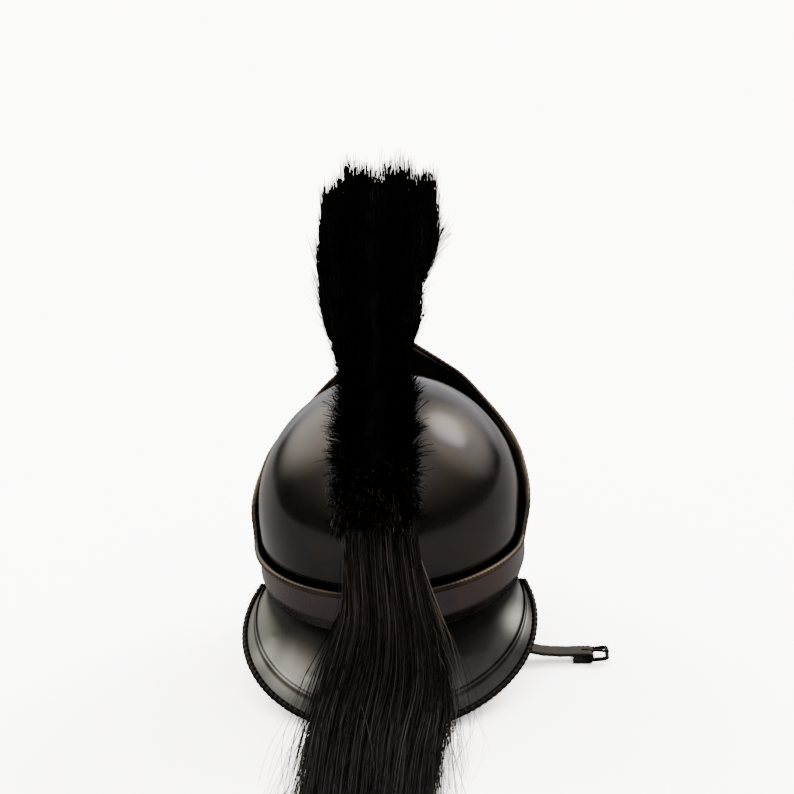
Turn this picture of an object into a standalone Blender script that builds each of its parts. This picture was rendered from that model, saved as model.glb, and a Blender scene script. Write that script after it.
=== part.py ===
"""Plumed helmet: blackened steel, open-faced, with a horsehair crest and a long tail.

It stands by itself on the floor, z = 0, on two cheek plates and the back of its neck guard.
It faces -Y, and +Z is up. Every length is in metres and every angle in degrees.
"""
import math
import random

import bmesh
import bpy
from mathutils import Vector

# Clearance between pieces that touch.
GAP = 0.0003

# Steel sheet, and the rolled rims on its edges.
SHEET = 0.0012
ROLL_RADIUS = 0.0026

# Wall: the band behind, the brow plate and the cheek plates in front.
RIM_HEIGHT = 0.093
PEAK_HEIGHT = 0.2245
BAND_HEIGHT = 0.0295
BAND_BOTTOM = RIM_HEIGHT - BAND_HEIGHT
BROW_HEIGHT = 0.110
FACE_HALF_WIDTH = 0.052

# Skull dome: half of an ellipsoid over a short straight skirt.
DOME_HALF_WIDTH = 0.104
DOME_HALF_LENGTH = 0.127
DOME_RISE = 0.100
EQUATOR_ABOVE_RIM = 0.0285
EQUATOR_HEIGHT = RIM_HEIGHT + EQUATOR_ABOVE_RIM
SKIRT_BELOW_RIM = 0.0025
SKIRT_DEPTH = EQUATOR_ABOVE_RIM + SKIRT_BELOW_RIM

# Neck guard: its edge is an ellipse in plan, on a plane that slopes down to the back.
COLLAR_HEIGHT = 0.009
COLLAR_PLAY = 0.0007
GUARD_CENTRE = 0.058
GUARD_SIDE_REACH = 0.0085
GUARD_HALF_WIDTH = DOME_HALF_WIDTH + GUARD_SIDE_REACH
GUARD_HALF_LENGTH = 0.0995
GUARD_SIDE_RISE = 0.004
GUARD_SIDE_HEIGHT = BAND_BOTTOM + GUARD_SIDE_RISE
GUARD_END_ANGLE = 112.0
COLLAR_END_ANGLE = 82.0
BEAD_RISE = 0.0016

# Crest holder, along the crown from front to back.
HOLDER_HALF_WIDTH = 0.011
HOLDER_HEIGHT = 0.009
HOLDER_FRONT_ANGLE = -50.0
HOLDER_BACK_ANGLE = 70.0

# Crest hair and tail.
CREST_HAIR = 0.160
CREST_HALF_WIDTH = 0.039
CREST_DRIFT = 0.009
CREST_ROUND = 0.11
TAIL_HALF_WIDTH = 0.045
TAIL_HALF_THICKNESS = 0.012
TAIL_DRIFT = -0.011
TAIL_REACH = 0.310
LOCK_DEPTH = 0.14

# Chin strap in two halves, its pins and its buckle.
STRAP_WIDTH = 0.015
STRAP_THICKNESS = 0.0022
STRAP_PLACE = 0.042
PIN_PLACE = 0.028
PIN_DROP = 0.0075
PIN_HEIGHT = RIM_HEIGHT - SKIRT_BELOW_RIM - PIN_DROP
STRAP_OVER_PIN = 0.007
STRAP_SWEEP = 0.035
STRAP_FOLD = 0.012
PIN_RADIUS = 0.002
PIN_HEAD_RADIUS = 0.0042
PIN_HEAD_HEIGHT = 0.0012
BUCKLE_DISTANCE = 0.1530
BUCKLE_WIRE_RADIUS = 0.0016
BUCKLE_HALF_WIDTH = 0.0101
BUCKLE_LENGTH = 0.0145
BUCKLE_LIFT = 0.0012
BUCKLE_CORNER = 0.0025
PRONG_RADIUS = 0.0011
PRONG_SWAY = 0.006
STRAP_END_PLACE = -0.045
HOLE_RADIUS = 0.0021
HOLE_SPACING = 0.014
HOLE_COUNT = 5

# How fine the meshes are.
RING_SIDES = 48
DOME_RINGS = 9
WALL_ROWS = 8

# Top edge of the wall: angle from the front, share of the rise from the rim to the peak.
TOP_EDGE = (
    (0, 1.00), (7, 0.925), (20, 0.815), (30, 0.74), (45, 0.59), (58, 0.49), (70, 0.405),
    (77, 0.33), (84, 0.265), (91, 0.19), (97, 0.09), (103, 0.02), (110, 0.00), (180, 0.00),
)

# Bottom edge of the wall: angle from the front, share of the drop from the band to the floor.
BOTTOM_EDGE = (
    (0, 1.03), (40, 1.03), (46, 0.97), (53, 0.86), (62, 0.62), (72, 0.32), (82, 0.08),
    (90, 0.00), (180, 0.00),
)

# Lean of the wall: height, where 0 is the floor, 1 the rim and 2 the peak, and share of the dome's
# footprint.
WALL_LEAN = (
    (-0.048, 0.90), (0.072, 0.90), (0.338, 0.930), (0.683, 0.967), (0.816, 1.002), (1.027, 1.002),
    (1.189, 1.025), (1.437, 1.01), (1.744, 0.99), (2.034, 0.97),
)

# Face opening, half of its outline: share of the half width, share of the brow's height.
FACE_OUTLINE = (
    (0.00, 1.00), (0.30, 1.01), (0.60, 1.05), (0.86, 1.04), (1.00, 0.95), (0.97, 0.83),
    (0.82, 0.70), (0.68, 0.56), (0.62, 0.40), (0.61, 0.22), (0.64, 0.05), (0.68, -0.10),
)

# Flare of the neck guard: how far out and how far down its curve's middle point lies.
FLARE_OUT = 0.10
FLARE_DOWN = 0.60

# Rows of the flare: share of the way from the collar to the edge, share of the bead's rise.
FLARE_ROWS = (
    (0.00, 0.0), (0.22, 0.0), (0.45, 0.0), (0.66, 0.0), (0.76, 0.0), (0.82, 1.0), (0.88, 0.0),
    (1.00, 0.0),
)

# Crest hair along the holder: share of its length, share of the hair's length, lean back in
# degrees, share of the half width, share of the sideways drift.
CREST_SECTIONS = (
    (0.00, 0.76, -8, 0.80, 1.0), (0.12, 0.93, -4, 0.95, 1.0), (0.28, 1.00, 1, 1.00, 1.0),
    (0.42, 0.90, 8, 0.88, 0.9), (0.55, 0.66, 20, 0.70, 0.4), (0.70, 0.45, 40, 0.62, -0.2),
    (0.86, 0.37, 62, 0.74, -0.5), (1.00, 0.33, 78, 0.66, -0.6),
)

# Crest section: share of the hair's length, share of its half width, share of its sideways drift.
CREST_SPREAD = (
    (0.00, 0.27, 0.0), (0.12, 0.64, 0.7), (0.30, 0.88, 1.2), (0.45, 0.86, 1.3), (0.55, 0.90, 1.0),
    (0.70, 1.02, 0.4), (0.80, 1.10, -0.2), (1.20, 1.12, -0.4),
)

# Crest locks: cells along and across, shares of the hair where the body has a ring, rows of a tip
# (share of the hair, size of the cell) and how unequal the tips are.
CREST_CELLS = (16, 5)
CREST_LEVELS = (0.0, 0.12, 0.35, 0.62, 0.78)
CREST_TIPS = ((0.90, 0.75), (1.02, 0.15))
CREST_UNEVEN = 0.35

# Tail locks, in the same way; the rings before the tips are evenly spaced.
TAIL_CELLS = (12, 2)
TAIL_RINGS = 26
TAIL_LAST_RING = 22
TAIL_TIPS = ((0.93, 0.80), (0.98, 0.35))
TAIL_UNEVEN = 0.25


def smooth_value(table, at, column=1):
    """Reads one column of a table between its rows, smoothly and without overshoot."""
    if at <= table[0][0]:
        return table[0][column]
    if at >= table[-1][0]:
        return table[-1][column]
    row = max(i for i in range(len(table) - 1) if table[i][0] <= at)
    steps = [
        (b[column] - a[column]) / (b[0] - a[0]) for a, b in zip(table[:-1], table[1:])
    ]

    def slope(i):
        if i == 0 or i == len(steps) or steps[i - 1] * steps[i] <= 0:
            return 0.0
        return 2 * steps[i - 1] * steps[i] / (steps[i - 1] + steps[i])

    width = table[row + 1][0] - table[row][0]
    t = (at - table[row][0]) / width
    start, end = table[row][column], table[row + 1][column]
    return (
        start * (2 * t**3 - 3 * t**2 + 1)
        + end * (3 * t**2 - 2 * t**3)
        + width * slope(row) * (t**3 - 2 * t**2 + t)
        + width * slope(row + 1) * (t**3 - t**2)
    )


def smooth_path(points, share):
    """A point on the Catmull-Rom curve through the points, at a share of their number."""
    points = [Vector(p) for p in points]
    place = min(max(share, 0.0), 1.0) * (len(points) - 1)
    i = min(int(place), len(points) - 2)
    t = place - i
    a, b = points[max(i - 1, 0)], points[i]
    c, d = points[i + 1], points[min(i + 2, len(points) - 1)]
    return 0.5 * (
        2 * b + (c - a) * t + (2 * a - 5 * b + 4 * c - d) * t**2 + (3 * b - a - 3 * c + d) * t**3
    )


def clear_scene():
    for item in list(bpy.data.objects):
        bpy.data.objects.remove(item, do_unlink=True)


def new_collection(name):
    collection = bpy.data.collections.new(name)
    bpy.context.scene.collection.children.link(collection)
    return collection


def new_material(name, colour, roughness, metallic):
    material = bpy.data.materials.new(name)
    material.use_nodes = True
    shader = material.node_tree.nodes["Principled BSDF"]
    shader.inputs["Base Color"].default_value = (*colour, 1.0)
    shader.inputs["Roughness"].default_value = roughness
    shader.inputs["Metallic"].default_value = metallic
    return material


def add_piece(name, bm, material):
    """Makes an object of a bmesh, stands it in the helmet's frame and shades it smooth."""
    bmesh.ops.recalc_face_normals(bm, faces=bm.faces)
    mesh = bpy.data.meshes.new(name)
    bm.to_mesh(mesh)
    bm.free()
    mesh.materials.append(material)
    mesh.shade_smooth()
    mesh.set_sharp_from_angle(angle=math.radians(40))
    piece = bpy.data.objects.new(name, mesh)
    PIECES.objects.link(piece)
    piece.parent = HEAD
    return piece


def add_cutter(name, bm, targets):
    """Makes a hidden cutter of a bmesh and cuts each target with it."""
    bmesh.ops.recalc_face_normals(bm, faces=bm.faces)
    mesh = bpy.data.meshes.new(name)
    bm.to_mesh(mesh)
    bm.free()
    cutter = bpy.data.objects.new(name, mesh)
    CUTTERS.objects.link(cutter)
    cutter.parent = HEAD
    cutter.hide_render = True
    cutter.display_type = "WIRE"
    for target in targets:
        cut = target.modifiers.new(name, "BOOLEAN")
        cut.operation = "DIFFERENCE"
        cut.solver = "EXACT"
        cut.object = cutter


def thicken(piece, thickness, offset):
    wall = piece.modifiers.new("sheet", "SOLIDIFY")
    wall.thickness = thickness
    wall.offset = offset
    wall.use_even_offset = True


def laid_grid(columns, rows, place, closed=False):
    """A grid of cells laid over a surface: place(u, v) gives each point, u and v from 0 to 1."""
    bm = bmesh.new()
    bmesh.ops.create_grid(bm, x_segments=columns, y_segments=rows, size=0.5)
    for vert in bm.verts:
        vert.co = place(vert.co.x + 0.5, vert.co.y + 0.5)
    if closed:
        bmesh.ops.remove_doubles(bm, verts=bm.verts, dist=0.00001)
    return bm


def wall_share(height):
    """How large the wall is in plan at a height, as a share of the dome's footprint."""
    above = (height - RIM_HEIGHT) / (PEAK_HEIGHT - RIM_HEIGHT)
    return smooth_value(WALL_LEAN, 1 + above if above > 0 else height / RIM_HEIGHT)


def wall_point(angle, height, outward=0.0):
    """A point on the wall's inner face, or that far outside it; the angle is from the front."""
    share = wall_share(height)
    turn = math.radians(angle)
    return Vector((
        ((DOME_HALF_WIDTH + GAP) * share + outward) * math.sin(turn),
        -((DOME_HALF_LENGTH + GAP) * share + outward) * math.cos(turn),
        height,
    ))


def from_front(angle):
    """The same angle as 0 to 180 degrees either side of the front."""
    return abs((angle + 180) % 360 - 180)


def top_height(angle):
    return RIM_HEIGHT + (PEAK_HEIGHT - RIM_HEIGHT) * smooth_value(TOP_EDGE, from_front(angle))


def bottom_height(angle):
    return BAND_BOTTOM * (1 - smooth_value(BOTTOM_EDGE, from_front(angle)))


def crown_point(angle, lift=0.0):
    """A point over the crown's centre line, that far off the dome; the angle is back from the top."""
    turn = math.radians(angle)
    on_dome = Vector((
        0, DOME_HALF_LENGTH * math.sin(turn), EQUATOR_HEIGHT + DOME_RISE * math.cos(turn)
    ))
    normal = Vector((0, math.sin(turn) / DOME_HALF_LENGTH, math.cos(turn) / DOME_RISE)).normalized()
    return on_dome + normal * lift


def make_skull_dome(material):
    bm = bmesh.new()
    bmesh.ops.create_uvsphere(bm, u_segments=RING_SIDES, v_segments=2 * DOME_RINGS, radius=1)
    below = [vert for vert in bm.verts if vert.co.z < -0.01]
    bmesh.ops.delete(bm, geom=below, context="VERTS")
    bmesh.ops.scale(bm, vec=(DOME_HALF_WIDTH, DOME_HALF_LENGTH, DOME_RISE), verts=bm.verts)
    bmesh.ops.translate(bm, vec=(0, 0, EQUATOR_HEIGHT), verts=bm.verts)
    rim = [edge for edge in bm.edges if edge.is_boundary]
    skirt = bmesh.ops.extrude_edge_only(bm, edges=rim)["geom"]
    skirt = [item for item in skirt if isinstance(item, bmesh.types.BMVert)]
    bmesh.ops.translate(bm, vec=(0, 0, -SKIRT_DEPTH), verts=skirt)
    dome = add_piece("skull_dome", bm, material)
    thicken(dome, SHEET, -1)
    return dome


def make_face_wall(material):
    def place(u, v):
        angle = 360 * u
        low, high = bottom_height(angle), top_height(angle)
        return wall_point(angle, low + (high - low) * v)

    wall = add_piece("face_wall", laid_grid(RING_SIDES, WALL_ROWS, place, closed=True), material)
    thicken(wall, SHEET, 1)
    return wall


def cut_face_opening(wall, dome):
    """Cuts the open face out of the wall and dome, and the cheek plates' feet flat on the floor."""
    half = [
        Vector((x * FACE_HALF_WIDTH, 0, z * BROW_HEIGHT)) for x, z in FACE_OUTLINE
    ]
    steps = 3 * (len(half) - 1)
    right = [smooth_path(half, i / steps) for i in range(steps + 1)]
    left = [Vector((-p.x, p.y, p.z)) for p in reversed(right[1:])]
    bm = bmesh.new()
    outline = bm.faces.new([bm.verts.new(p) for p in right + left])
    drawn = bmesh.ops.extrude_face_region(bm, geom=[outline])["geom"]
    front = [item for item in drawn if isinstance(item, bmesh.types.BMVert)]
    bmesh.ops.translate(bm, vec=(0, -2 * DOME_HALF_LENGTH, 0), verts=front)
    add_cutter("face_cutter", bm, [wall, dome])

    bm = bmesh.new()
    bmesh.ops.create_cube(bm, size=1)
    bmesh.ops.scale(bm, vec=(3 * DOME_HALF_WIDTH, 3 * DOME_HALF_LENGTH, BAND_BOTTOM), verts=bm.verts)
    bmesh.ops.translate(bm, vec=(0, 0, -BAND_BOTTOM / 2), verts=bm.verts)
    add_cutter("floor_cutter", bm, [wall])


def add_tube(name, points, radius, closed, material):
    """A round rod along a line of points."""
    curve = bpy.data.curves.new(name, "CURVE")
    curve.dimensions = "3D"
    curve.bevel_depth = radius
    curve.bevel_resolution = 2
    curve.use_fill_caps = not closed
    line = curve.splines.new("POLY")
    line.points.add(len(points) - 1)
    for point, place in zip(line.points, points):
        point.co = (*place, 1)
    line.use_cyclic_u = closed
    curve.materials.append(material)
    tube = bpy.data.objects.new(name, curve)
    PIECES.objects.link(tube)
    tube.parent = HEAD
    return tube


def brow_roll_centre(angle):
    """Centre of the rolled rim: it lies on the wall's top edge and stands proud outside."""
    step = 360 / RING_SIDES
    edge = wall_point(angle, top_height(angle))
    along = wall_point(angle + step, top_height(angle + step))
    along = (along - wall_point(angle - step, top_height(angle - step))).normalized()
    outward = along.cross(Vector((0, 0, 1))).normalized()
    upward = outward.cross(along)
    seat = math.sqrt(ROLL_RADIUS**2 - (ROLL_RADIUS - SHEET) ** 2)
    return edge + outward * ROLL_RADIUS + upward * (seat + GAP)


def make_brow_roll(material):
    turns = [360 * i / RING_SIDES for i in range(RING_SIDES)]
    add_tube("brow_roll", [brow_roll_centre(a) for a in turns], ROLL_RADIUS, True, material)


def guard_edge(u):
    """Centre of the guard's rolled edge, u from -1 at one side to 1 at the other."""
    turn = math.radians(GUARD_END_ANGLE * u)
    back = GUARD_CENTRE + GUARD_HALF_LENGTH
    y = GUARD_CENTRE + GUARD_HALF_LENGTH * math.cos(turn)
    height = GUARD_SIDE_HEIGHT + (ROLL_RADIUS - GUARD_SIDE_HEIGHT) * y / back
    return Vector((GUARD_HALF_WIDTH * math.sin(turn), y, height))


def guard_point(u, share, lift):
    """A point on the guard's upper face, from its collar, share 0, to its rolled edge, share 1."""
    start = wall_point(180 - COLLAR_END_ANGLE * u, BAND_BOTTOM - GAP, -COLLAR_PLAY)
    centre = guard_edge(u)
    middle = start + (centre - start) * FLARE_OUT
    middle.z = start.z + (centre.z - start.z) * FLARE_DOWN
    along = (guard_edge(u + 0.01) - guard_edge(u - 0.01)).normalized()
    outward = centre - middle
    outward = (outward - along * outward.dot(along)).normalized()
    upward = along.cross(outward)
    upward *= 1 if upward.z > 0 else -1
    end = centre - outward * (ROLL_RADIUS + 3 * GAP) + upward * SHEET / 2
    point = start * (1 - share) ** 2 + middle * 2 * share * (1 - share) + end * share**2
    return point + upward * lift


def make_neck_guard(material):
    def place(u, v):
        row = round(v * len(FLARE_ROWS))
        if row == 0:
            angle = 180 - COLLAR_END_ANGLE * (2 * u - 1)
            return wall_point(angle, BAND_BOTTOM + COLLAR_HEIGHT, -COLLAR_PLAY)
        share, lift = FLARE_ROWS[row - 1]
        return guard_point(2 * u - 1, share, lift * BEAD_RISE)

    bm = laid_grid(36, len(FLARE_ROWS), place)
    bmesh.ops.recalc_face_normals(bm, faces=bm.faces)
    bm.faces.ensure_lookup_table()
    outermost = max(bm.faces, key=lambda face: face.calc_center_median().y)
    if outermost.normal.z < 0:
        bmesh.ops.reverse_faces(bm, faces=bm.faces)
    mesh = bpy.data.meshes.new("neck_guard")
    bm.to_mesh(mesh)
    bm.free()
    mesh.materials.append(material)
    mesh.shade_smooth()
    guard = bpy.data.objects.new("neck_guard", mesh)
    PIECES.objects.link(guard)
    guard.parent = HEAD
    thicken(guard, SHEET, -1)


def make_guard_roll(material):
    centres = [guard_edge(i / 18) for i in range(-18, 19)]
    add_tube("guard_roll", centres, ROLL_RADIUS, False, material)


def make_crest_holder(material):
    def corner(u, side, lift):
        angle = HOLDER_FRONT_ANGLE + (HOLDER_BACK_ANGLE - HOLDER_FRONT_ANGLE) * u
        return crown_point(angle, lift) + Vector((side * HOLDER_HALF_WIDTH, 0, 0))

    around = ((-1, GAP), (1, GAP), (1, GAP + HOLDER_HEIGHT), (-1, GAP + HOLDER_HEIGHT), (-1, GAP))
    bm = laid_grid(34, 4, lambda u, v: corner(u, *around[round(4 * v)]), closed=True)
    ends = [edge for edge in bm.edges if edge.is_boundary]
    bmesh.ops.holes_fill(bm, edges=ends, sides=4)
    add_piece("crest_holder", bm, material)


def lock_body(cells, levels, place, tips, spread):
    """A body of hair, drawn out from a grid of cells; past it each cell goes on to its own tip.

    place(u, v, w) gives a point: u from 0 to 1 and v from -1 to 1 over the cells, and w along
    the hair. tips has a row for each step of a tip: how far along, and the cell's size there.
    """
    chance = random.Random(7)
    bm = bmesh.new()
    bmesh.ops.create_grid(bm, x_segments=cells[0], y_segments=cells[1], size=0.5)
    along = bm.verts.layers.float.new("along")
    across = bm.verts.layers.float.new("across")
    for vert in bm.verts:
        vert[along], vert[across] = vert.co.x + 0.5, 2 * vert.co.y
        vert.co = place(vert[along], vert[across], levels[0])
    ends = bm.faces[:]
    for number, level in enumerate(levels[1:]):
        drawn = bmesh.ops.extrude_face_region(bm, geom=ends)["geom"]
        left = [face for face in ends if face.is_valid]
        ends = [item for item in drawn if isinstance(item, bmesh.types.BMFace)]
        if number > 0:
            bmesh.ops.delete(bm, geom=left, context="FACES")
        for vert in {vert for face in ends for vert in face.verts}:
            vert.co = place(vert[along], vert[across], level)
    reaches = {}
    for step, (level, size) in enumerate(tips):
        ends = bmesh.ops.extrude_discrete_faces(bm, faces=ends)["faces"]
        for number, face in enumerate(ends):
            if step == 0:
                reaches[number] = 1 + spread * chance.uniform(-1, 1)
            u = sum(vert[along] for vert in face.verts) / len(face.verts)
            v = sum(vert[across] for vert in face.verts) / len(face.verts)
            reach = levels[-1] + (level - levels[-1]) * reaches[number]
            for vert in face.verts:
                vert[along] = u + (vert[along] - u) * size
                vert[across] = v + (vert[across] - v) * size
                vert.co = place(vert[along], vert[across], reach)
    return bm


def make_crest_brush(material):
    def place(u, v, w):
        angle = HOLDER_FRONT_ANGLE + (HOLDER_BACK_ANGLE - HOLDER_FRONT_ANGLE) * u
        root = crown_point(angle, 2 * GAP + HOLDER_HEIGHT)
        length, lean, width, sideways = (
            smooth_value(CREST_SECTIONS, u, column) for column in (1, 2, 3, 4)
        )
        half = CREST_HALF_WIDTH * width * smooth_value(CREST_SPREAD, w, 1)
        half = HOLDER_HALF_WIDTH if w == 0 else half
        drift = CREST_DRIFT * sideways * smooth_value(CREST_SPREAD, w, 2)
        length *= 1 - CREST_ROUND * v**2 * w
        way = Vector((0, math.sin(math.radians(lean)), math.cos(math.radians(lean))))
        return root + way * CREST_HAIR * length * w + Vector((half * v + drift, 0, 0))

    bm = lock_body(CREST_CELLS, CREST_LEVELS, place, CREST_TIPS, CREST_UNEVEN)
    add_piece("crest_brush", bm, material)


def tail_route():
    """Rows down the tail: sideways, back and up, then shares of its half width and half thickness."""
    root = crown_point(HOLDER_BACK_ANGLE, GAP + HOLDER_HEIGHT / 2)
    down = (crown_point(HOLDER_BACK_ANGLE + 0.5, GAP + HOLDER_HEIGHT / 2) - root).normalized()
    root += down * GAP
    below = root + down * TAIL_HALF_THICKNESS
    seat = TAIL_HALF_THICKNESS * (1 + LOCK_DEPTH) + GAP
    rim = DOME_HALF_LENGTH + GAP + 2 * ROLL_RADIUS + seat
    edge = GUARD_CENTRE + GUARD_HALF_LENGTH
    rest = TAIL_REACH - edge
    return (
        (0.0, root.y, root.z, 0.44, 0.33),
        (0.3 * TAIL_DRIFT, below.y, below.z, 0.50, 0.42),
        (0.7 * TAIL_DRIFT, DOME_HALF_LENGTH + 0.95 * seat, EQUATOR_HEIGHT + 0.07 * DOME_RISE, 0.58, 0.8),
        (1.0 * TAIL_DRIFT, rim + GAP, RIM_HEIGHT, 0.68, 1.00),
        (0.9 * TAIL_DRIFT, rim + 3 * GAP, (RIM_HEIGHT + BAND_BOTTOM) / 2, 0.78, 1.00),
        (0.7 * TAIL_DRIFT, rim + 8 * GAP, 0.80 * BAND_BOTTOM, 0.90, 1.00),
        (0.4 * TAIL_DRIFT, edge - 0.10 * seat, 0.42 * BAND_BOTTOM, 0.98, 1.00),
        (0.1 * TAIL_DRIFT, edge + 1.25 * seat, 1.30 * seat, 1.00, 0.95),
        (0.0, edge + 0.25 * rest, 1.02 * seat, 0.97, 0.95),
        (0.0, edge + 0.45 * rest, 0.95 * seat, 0.94, 0.90),
        (0.2 * TAIL_DRIFT, edge + 0.72 * rest, 0.78 * seat, 0.92, 0.72),
        (0.3 * TAIL_DRIFT, TAIL_REACH, 0.50 * seat, 0.84, 0.42),
    )


def make_tail(material):
    route = tail_route()
    centres = [Vector(row[:3]) for row in route]
    shares = [Vector((row[3], row[4], 0)) for row in route]

    def place(u, v, w):
        centre, share = smooth_path(centres, w), smooth_path(shares, w)
        ahead = smooth_path(centres, w + 0.01) - smooth_path(centres, w - 0.01)
        outward = Vector((1, 0, 0)).cross(ahead).normalized()
        side = 2 * u - 1
        lobe = 1 + LOCK_DEPTH * math.cos(math.pi * TAIL_CELLS[0] * u) * min(1, 4 * w)
        depth = TAIL_HALF_THICKNESS * share.y * (1 - 0.62 * side**2) * lobe
        return centre + Vector((TAIL_HALF_WIDTH * share.x * side, 0, 0)) - outward * depth * v

    levels = [i / TAIL_RINGS for i in range(TAIL_LAST_RING + 1)]
    bm = lock_body(TAIL_CELLS, levels, place, TAIL_TIPS, TAIL_UNEVEN)
    add_piece("horsehair_tail", bm, material)


def strap_depth(height):
    """How far from the middle the strap hangs: its back edge just clears the guard's collar."""
    back_edge = PIN_PLACE + STRAP_WIDTH / 2
    share = wall_share(height)
    angle = math.degrees(math.acos(-back_edge / ((DOME_HALF_LENGTH + GAP) * share)))
    return wall_point(angle, height).x - SHEET - 3 * GAP - STRAP_THICKNESS / 2


def buckle_bar():
    """Centre of the buckle's bar, which the strap's end folds round."""
    height = BUCKLE_WIRE_RADIUS + 2 * GAP + STRAP_THICKNESS
    return Vector((-BUCKLE_DISTANCE, STRAP_PLACE, height))


def strap_route(side):
    """Centre points of one half of the chin strap: side is 1 for the tongue's, -1 for the buckle's."""
    drop = strap_depth(0.9 * BAND_BOTTOM)
    shift = STRAP_PLACE - PIN_PLACE
    flat = strap_depth(PIN_HEIGHT)
    points = [(flat, PIN_PLACE, PIN_HEIGHT + STRAP_OVER_PIN), (flat, PIN_PLACE, PIN_HEIGHT)]
    points += [(flat, PIN_PLACE, PIN_HEIGHT - 1.5 * PIN_HEAD_RADIUS)]
    points += [(drop, PIN_PLACE + 0.1 * shift, 0.95 * BAND_BOTTOM)]
    if side > 0:
        low = STRAP_THICKNESS / 2 + 2 * GAP
        start, end = drop - STRAP_SWEEP, STRAP_END_PLACE
        points += [(drop - 0.03 * STRAP_SWEEP, PIN_PLACE + 0.4 * shift, 0.60 * BAND_BOTTOM)]
        points += [(drop - 0.20 * STRAP_SWEEP, PIN_PLACE + 0.7 * shift, 0.28 * BAND_BOTTOM)]
        points += [(drop - 0.51 * STRAP_SWEEP, PIN_PLACE + 0.9 * shift, low + 0.07 * BAND_BOTTOM)]
        points += [(start + (end - start) * i / 5, STRAP_PLACE, low) for i in range(6)]
        return [Vector(point) for point in points]
    bar = buckle_bar()
    loop = BUCKLE_WIRE_RADIUS + GAP + STRAP_THICKNESS / 2
    way, rise = BUCKLE_DISTANCE - drop, BAND_BOTTOM - bar.z - loop
    points += [(drop, PIN_PLACE + 0.3 * shift, bar.z + loop + 0.58 * rise)]
    points += [(drop + 0.05 * way, PIN_PLACE + 0.6 * shift, bar.z + loop + 0.28 * rise)]
    points += [(drop + 0.17 * way, PIN_PLACE + 0.9 * shift, bar.z + loop + 0.10 * rise)]
    points += [(drop + 0.36 * way, STRAP_PLACE, bar.z + loop + 0.03 * rise)]
    points += [(drop + 0.60 * way, STRAP_PLACE, bar.z + loop)]
    points += [(drop + 0.86 * way, STRAP_PLACE, bar.z + loop)]
    for turn in (0, 45, 90, 135, 180):
        out, up = loop * math.sin(math.radians(turn)), loop * math.cos(math.radians(turn))
        points += [(BUCKLE_DISTANCE + out, STRAP_PLACE, bar.z + up)]
    points += [(BUCKLE_DISTANCE - STRAP_FOLD * i / 2, STRAP_PLACE, bar.z - loop) for i in (1, 2)]
    return [Vector((-x, y, z)) for x, y, z in points]


def make_strap(name, side, material):
    route = strap_route(side)
    last = 2 * (len(route) - 1)
    points = [smooth_path(route, i / last) for i in range(last + 1)]

    def place(u, v):
        number = round(u * last)
        left = (points[last] - points[number]).length if side > 0 else STRAP_WIDTH
        half = STRAP_WIDTH / 2 * min(1, 0.25 + 0.75 * left / (0.8 * STRAP_WIDTH))
        return points[number] + Vector((0, half * (2 * v - 1), 0))

    strap = add_piece(name, laid_grid(last, 1, place), material)
    thicken(strap, STRAP_THICKNESS, 0)
    return strap


def make_strap_holes(strap):
    bm = bmesh.new()
    for number in range(HOLE_COUNT):
        made = bmesh.ops.create_cone(
            bm, cap_ends=True, segments=8, radius1=HOLE_RADIUS, radius2=HOLE_RADIUS,
            depth=4 * STRAP_THICKNESS,
        )
        place = STRAP_END_PLACE + 1.4 * STRAP_WIDTH + HOLE_SPACING * number
        bmesh.ops.translate(bm, vec=(place, STRAP_PLACE, 0), verts=made["verts"])
    add_cutter("hole_cutter", bm, [strap])


def turned_along_x(outline, place, side):
    """A turned shape about a line along X; outline rows are distance along it and radius."""
    bm = bmesh.new()
    line = [bm.verts.new((place.x + side * along, place.y + radius, place.z)) for along, radius in outline]
    edges = [bm.edges.new(pair) for pair in zip(line[:-1], line[1:])]
    bmesh.ops.spin(
        bm, geom=line + edges, cent=place, axis=(1, 0, 0), angle=math.tau, steps=12, use_merge=True
    )
    bmesh.ops.remove_doubles(bm, verts=bm.verts, dist=0.00001)
    return bm


def make_pin(name, side, strap, material):
    """A plain stud inside the wall: a foot on the wall, a shank through the strap and a flat head."""
    share = wall_share(PIN_HEIGHT)
    angle = math.degrees(math.acos(-PIN_PLACE / ((DOME_HALF_LENGTH + GAP) * share)))
    centre = strap_depth(PIN_HEIGHT)
    foot = wall_point(angle, PIN_HEIGHT).x - centre - GAP - 0.28 * PIN_HEAD_RADIUS
    back = STRAP_THICKNESS / 2 + 2 * GAP
    place = Vector((side * centre, PIN_PLACE, PIN_HEIGHT))
    outline = (
        (-back - PIN_HEAD_HEIGHT, 0), (-back - PIN_HEAD_HEIGHT, PIN_HEAD_RADIUS), (-back, PIN_HEAD_RADIUS),
        (-back, PIN_RADIUS), (foot - PIN_HEAD_HEIGHT, PIN_RADIUS),
        (foot - PIN_HEAD_HEIGHT, PIN_HEAD_RADIUS), (foot, PIN_HEAD_RADIUS), (foot, 0),
    )
    add_piece(name, turned_along_x(outline, place, side), material)
    deep, wide = STRAP_THICKNESS + 6 * GAP, PIN_RADIUS + GAP
    bore = ((-deep, 0), (-deep, wide), (deep, wide), (deep, 0))
    add_cutter(name + "_cutter", turned_along_x(bore, place, side), [strap])


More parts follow.
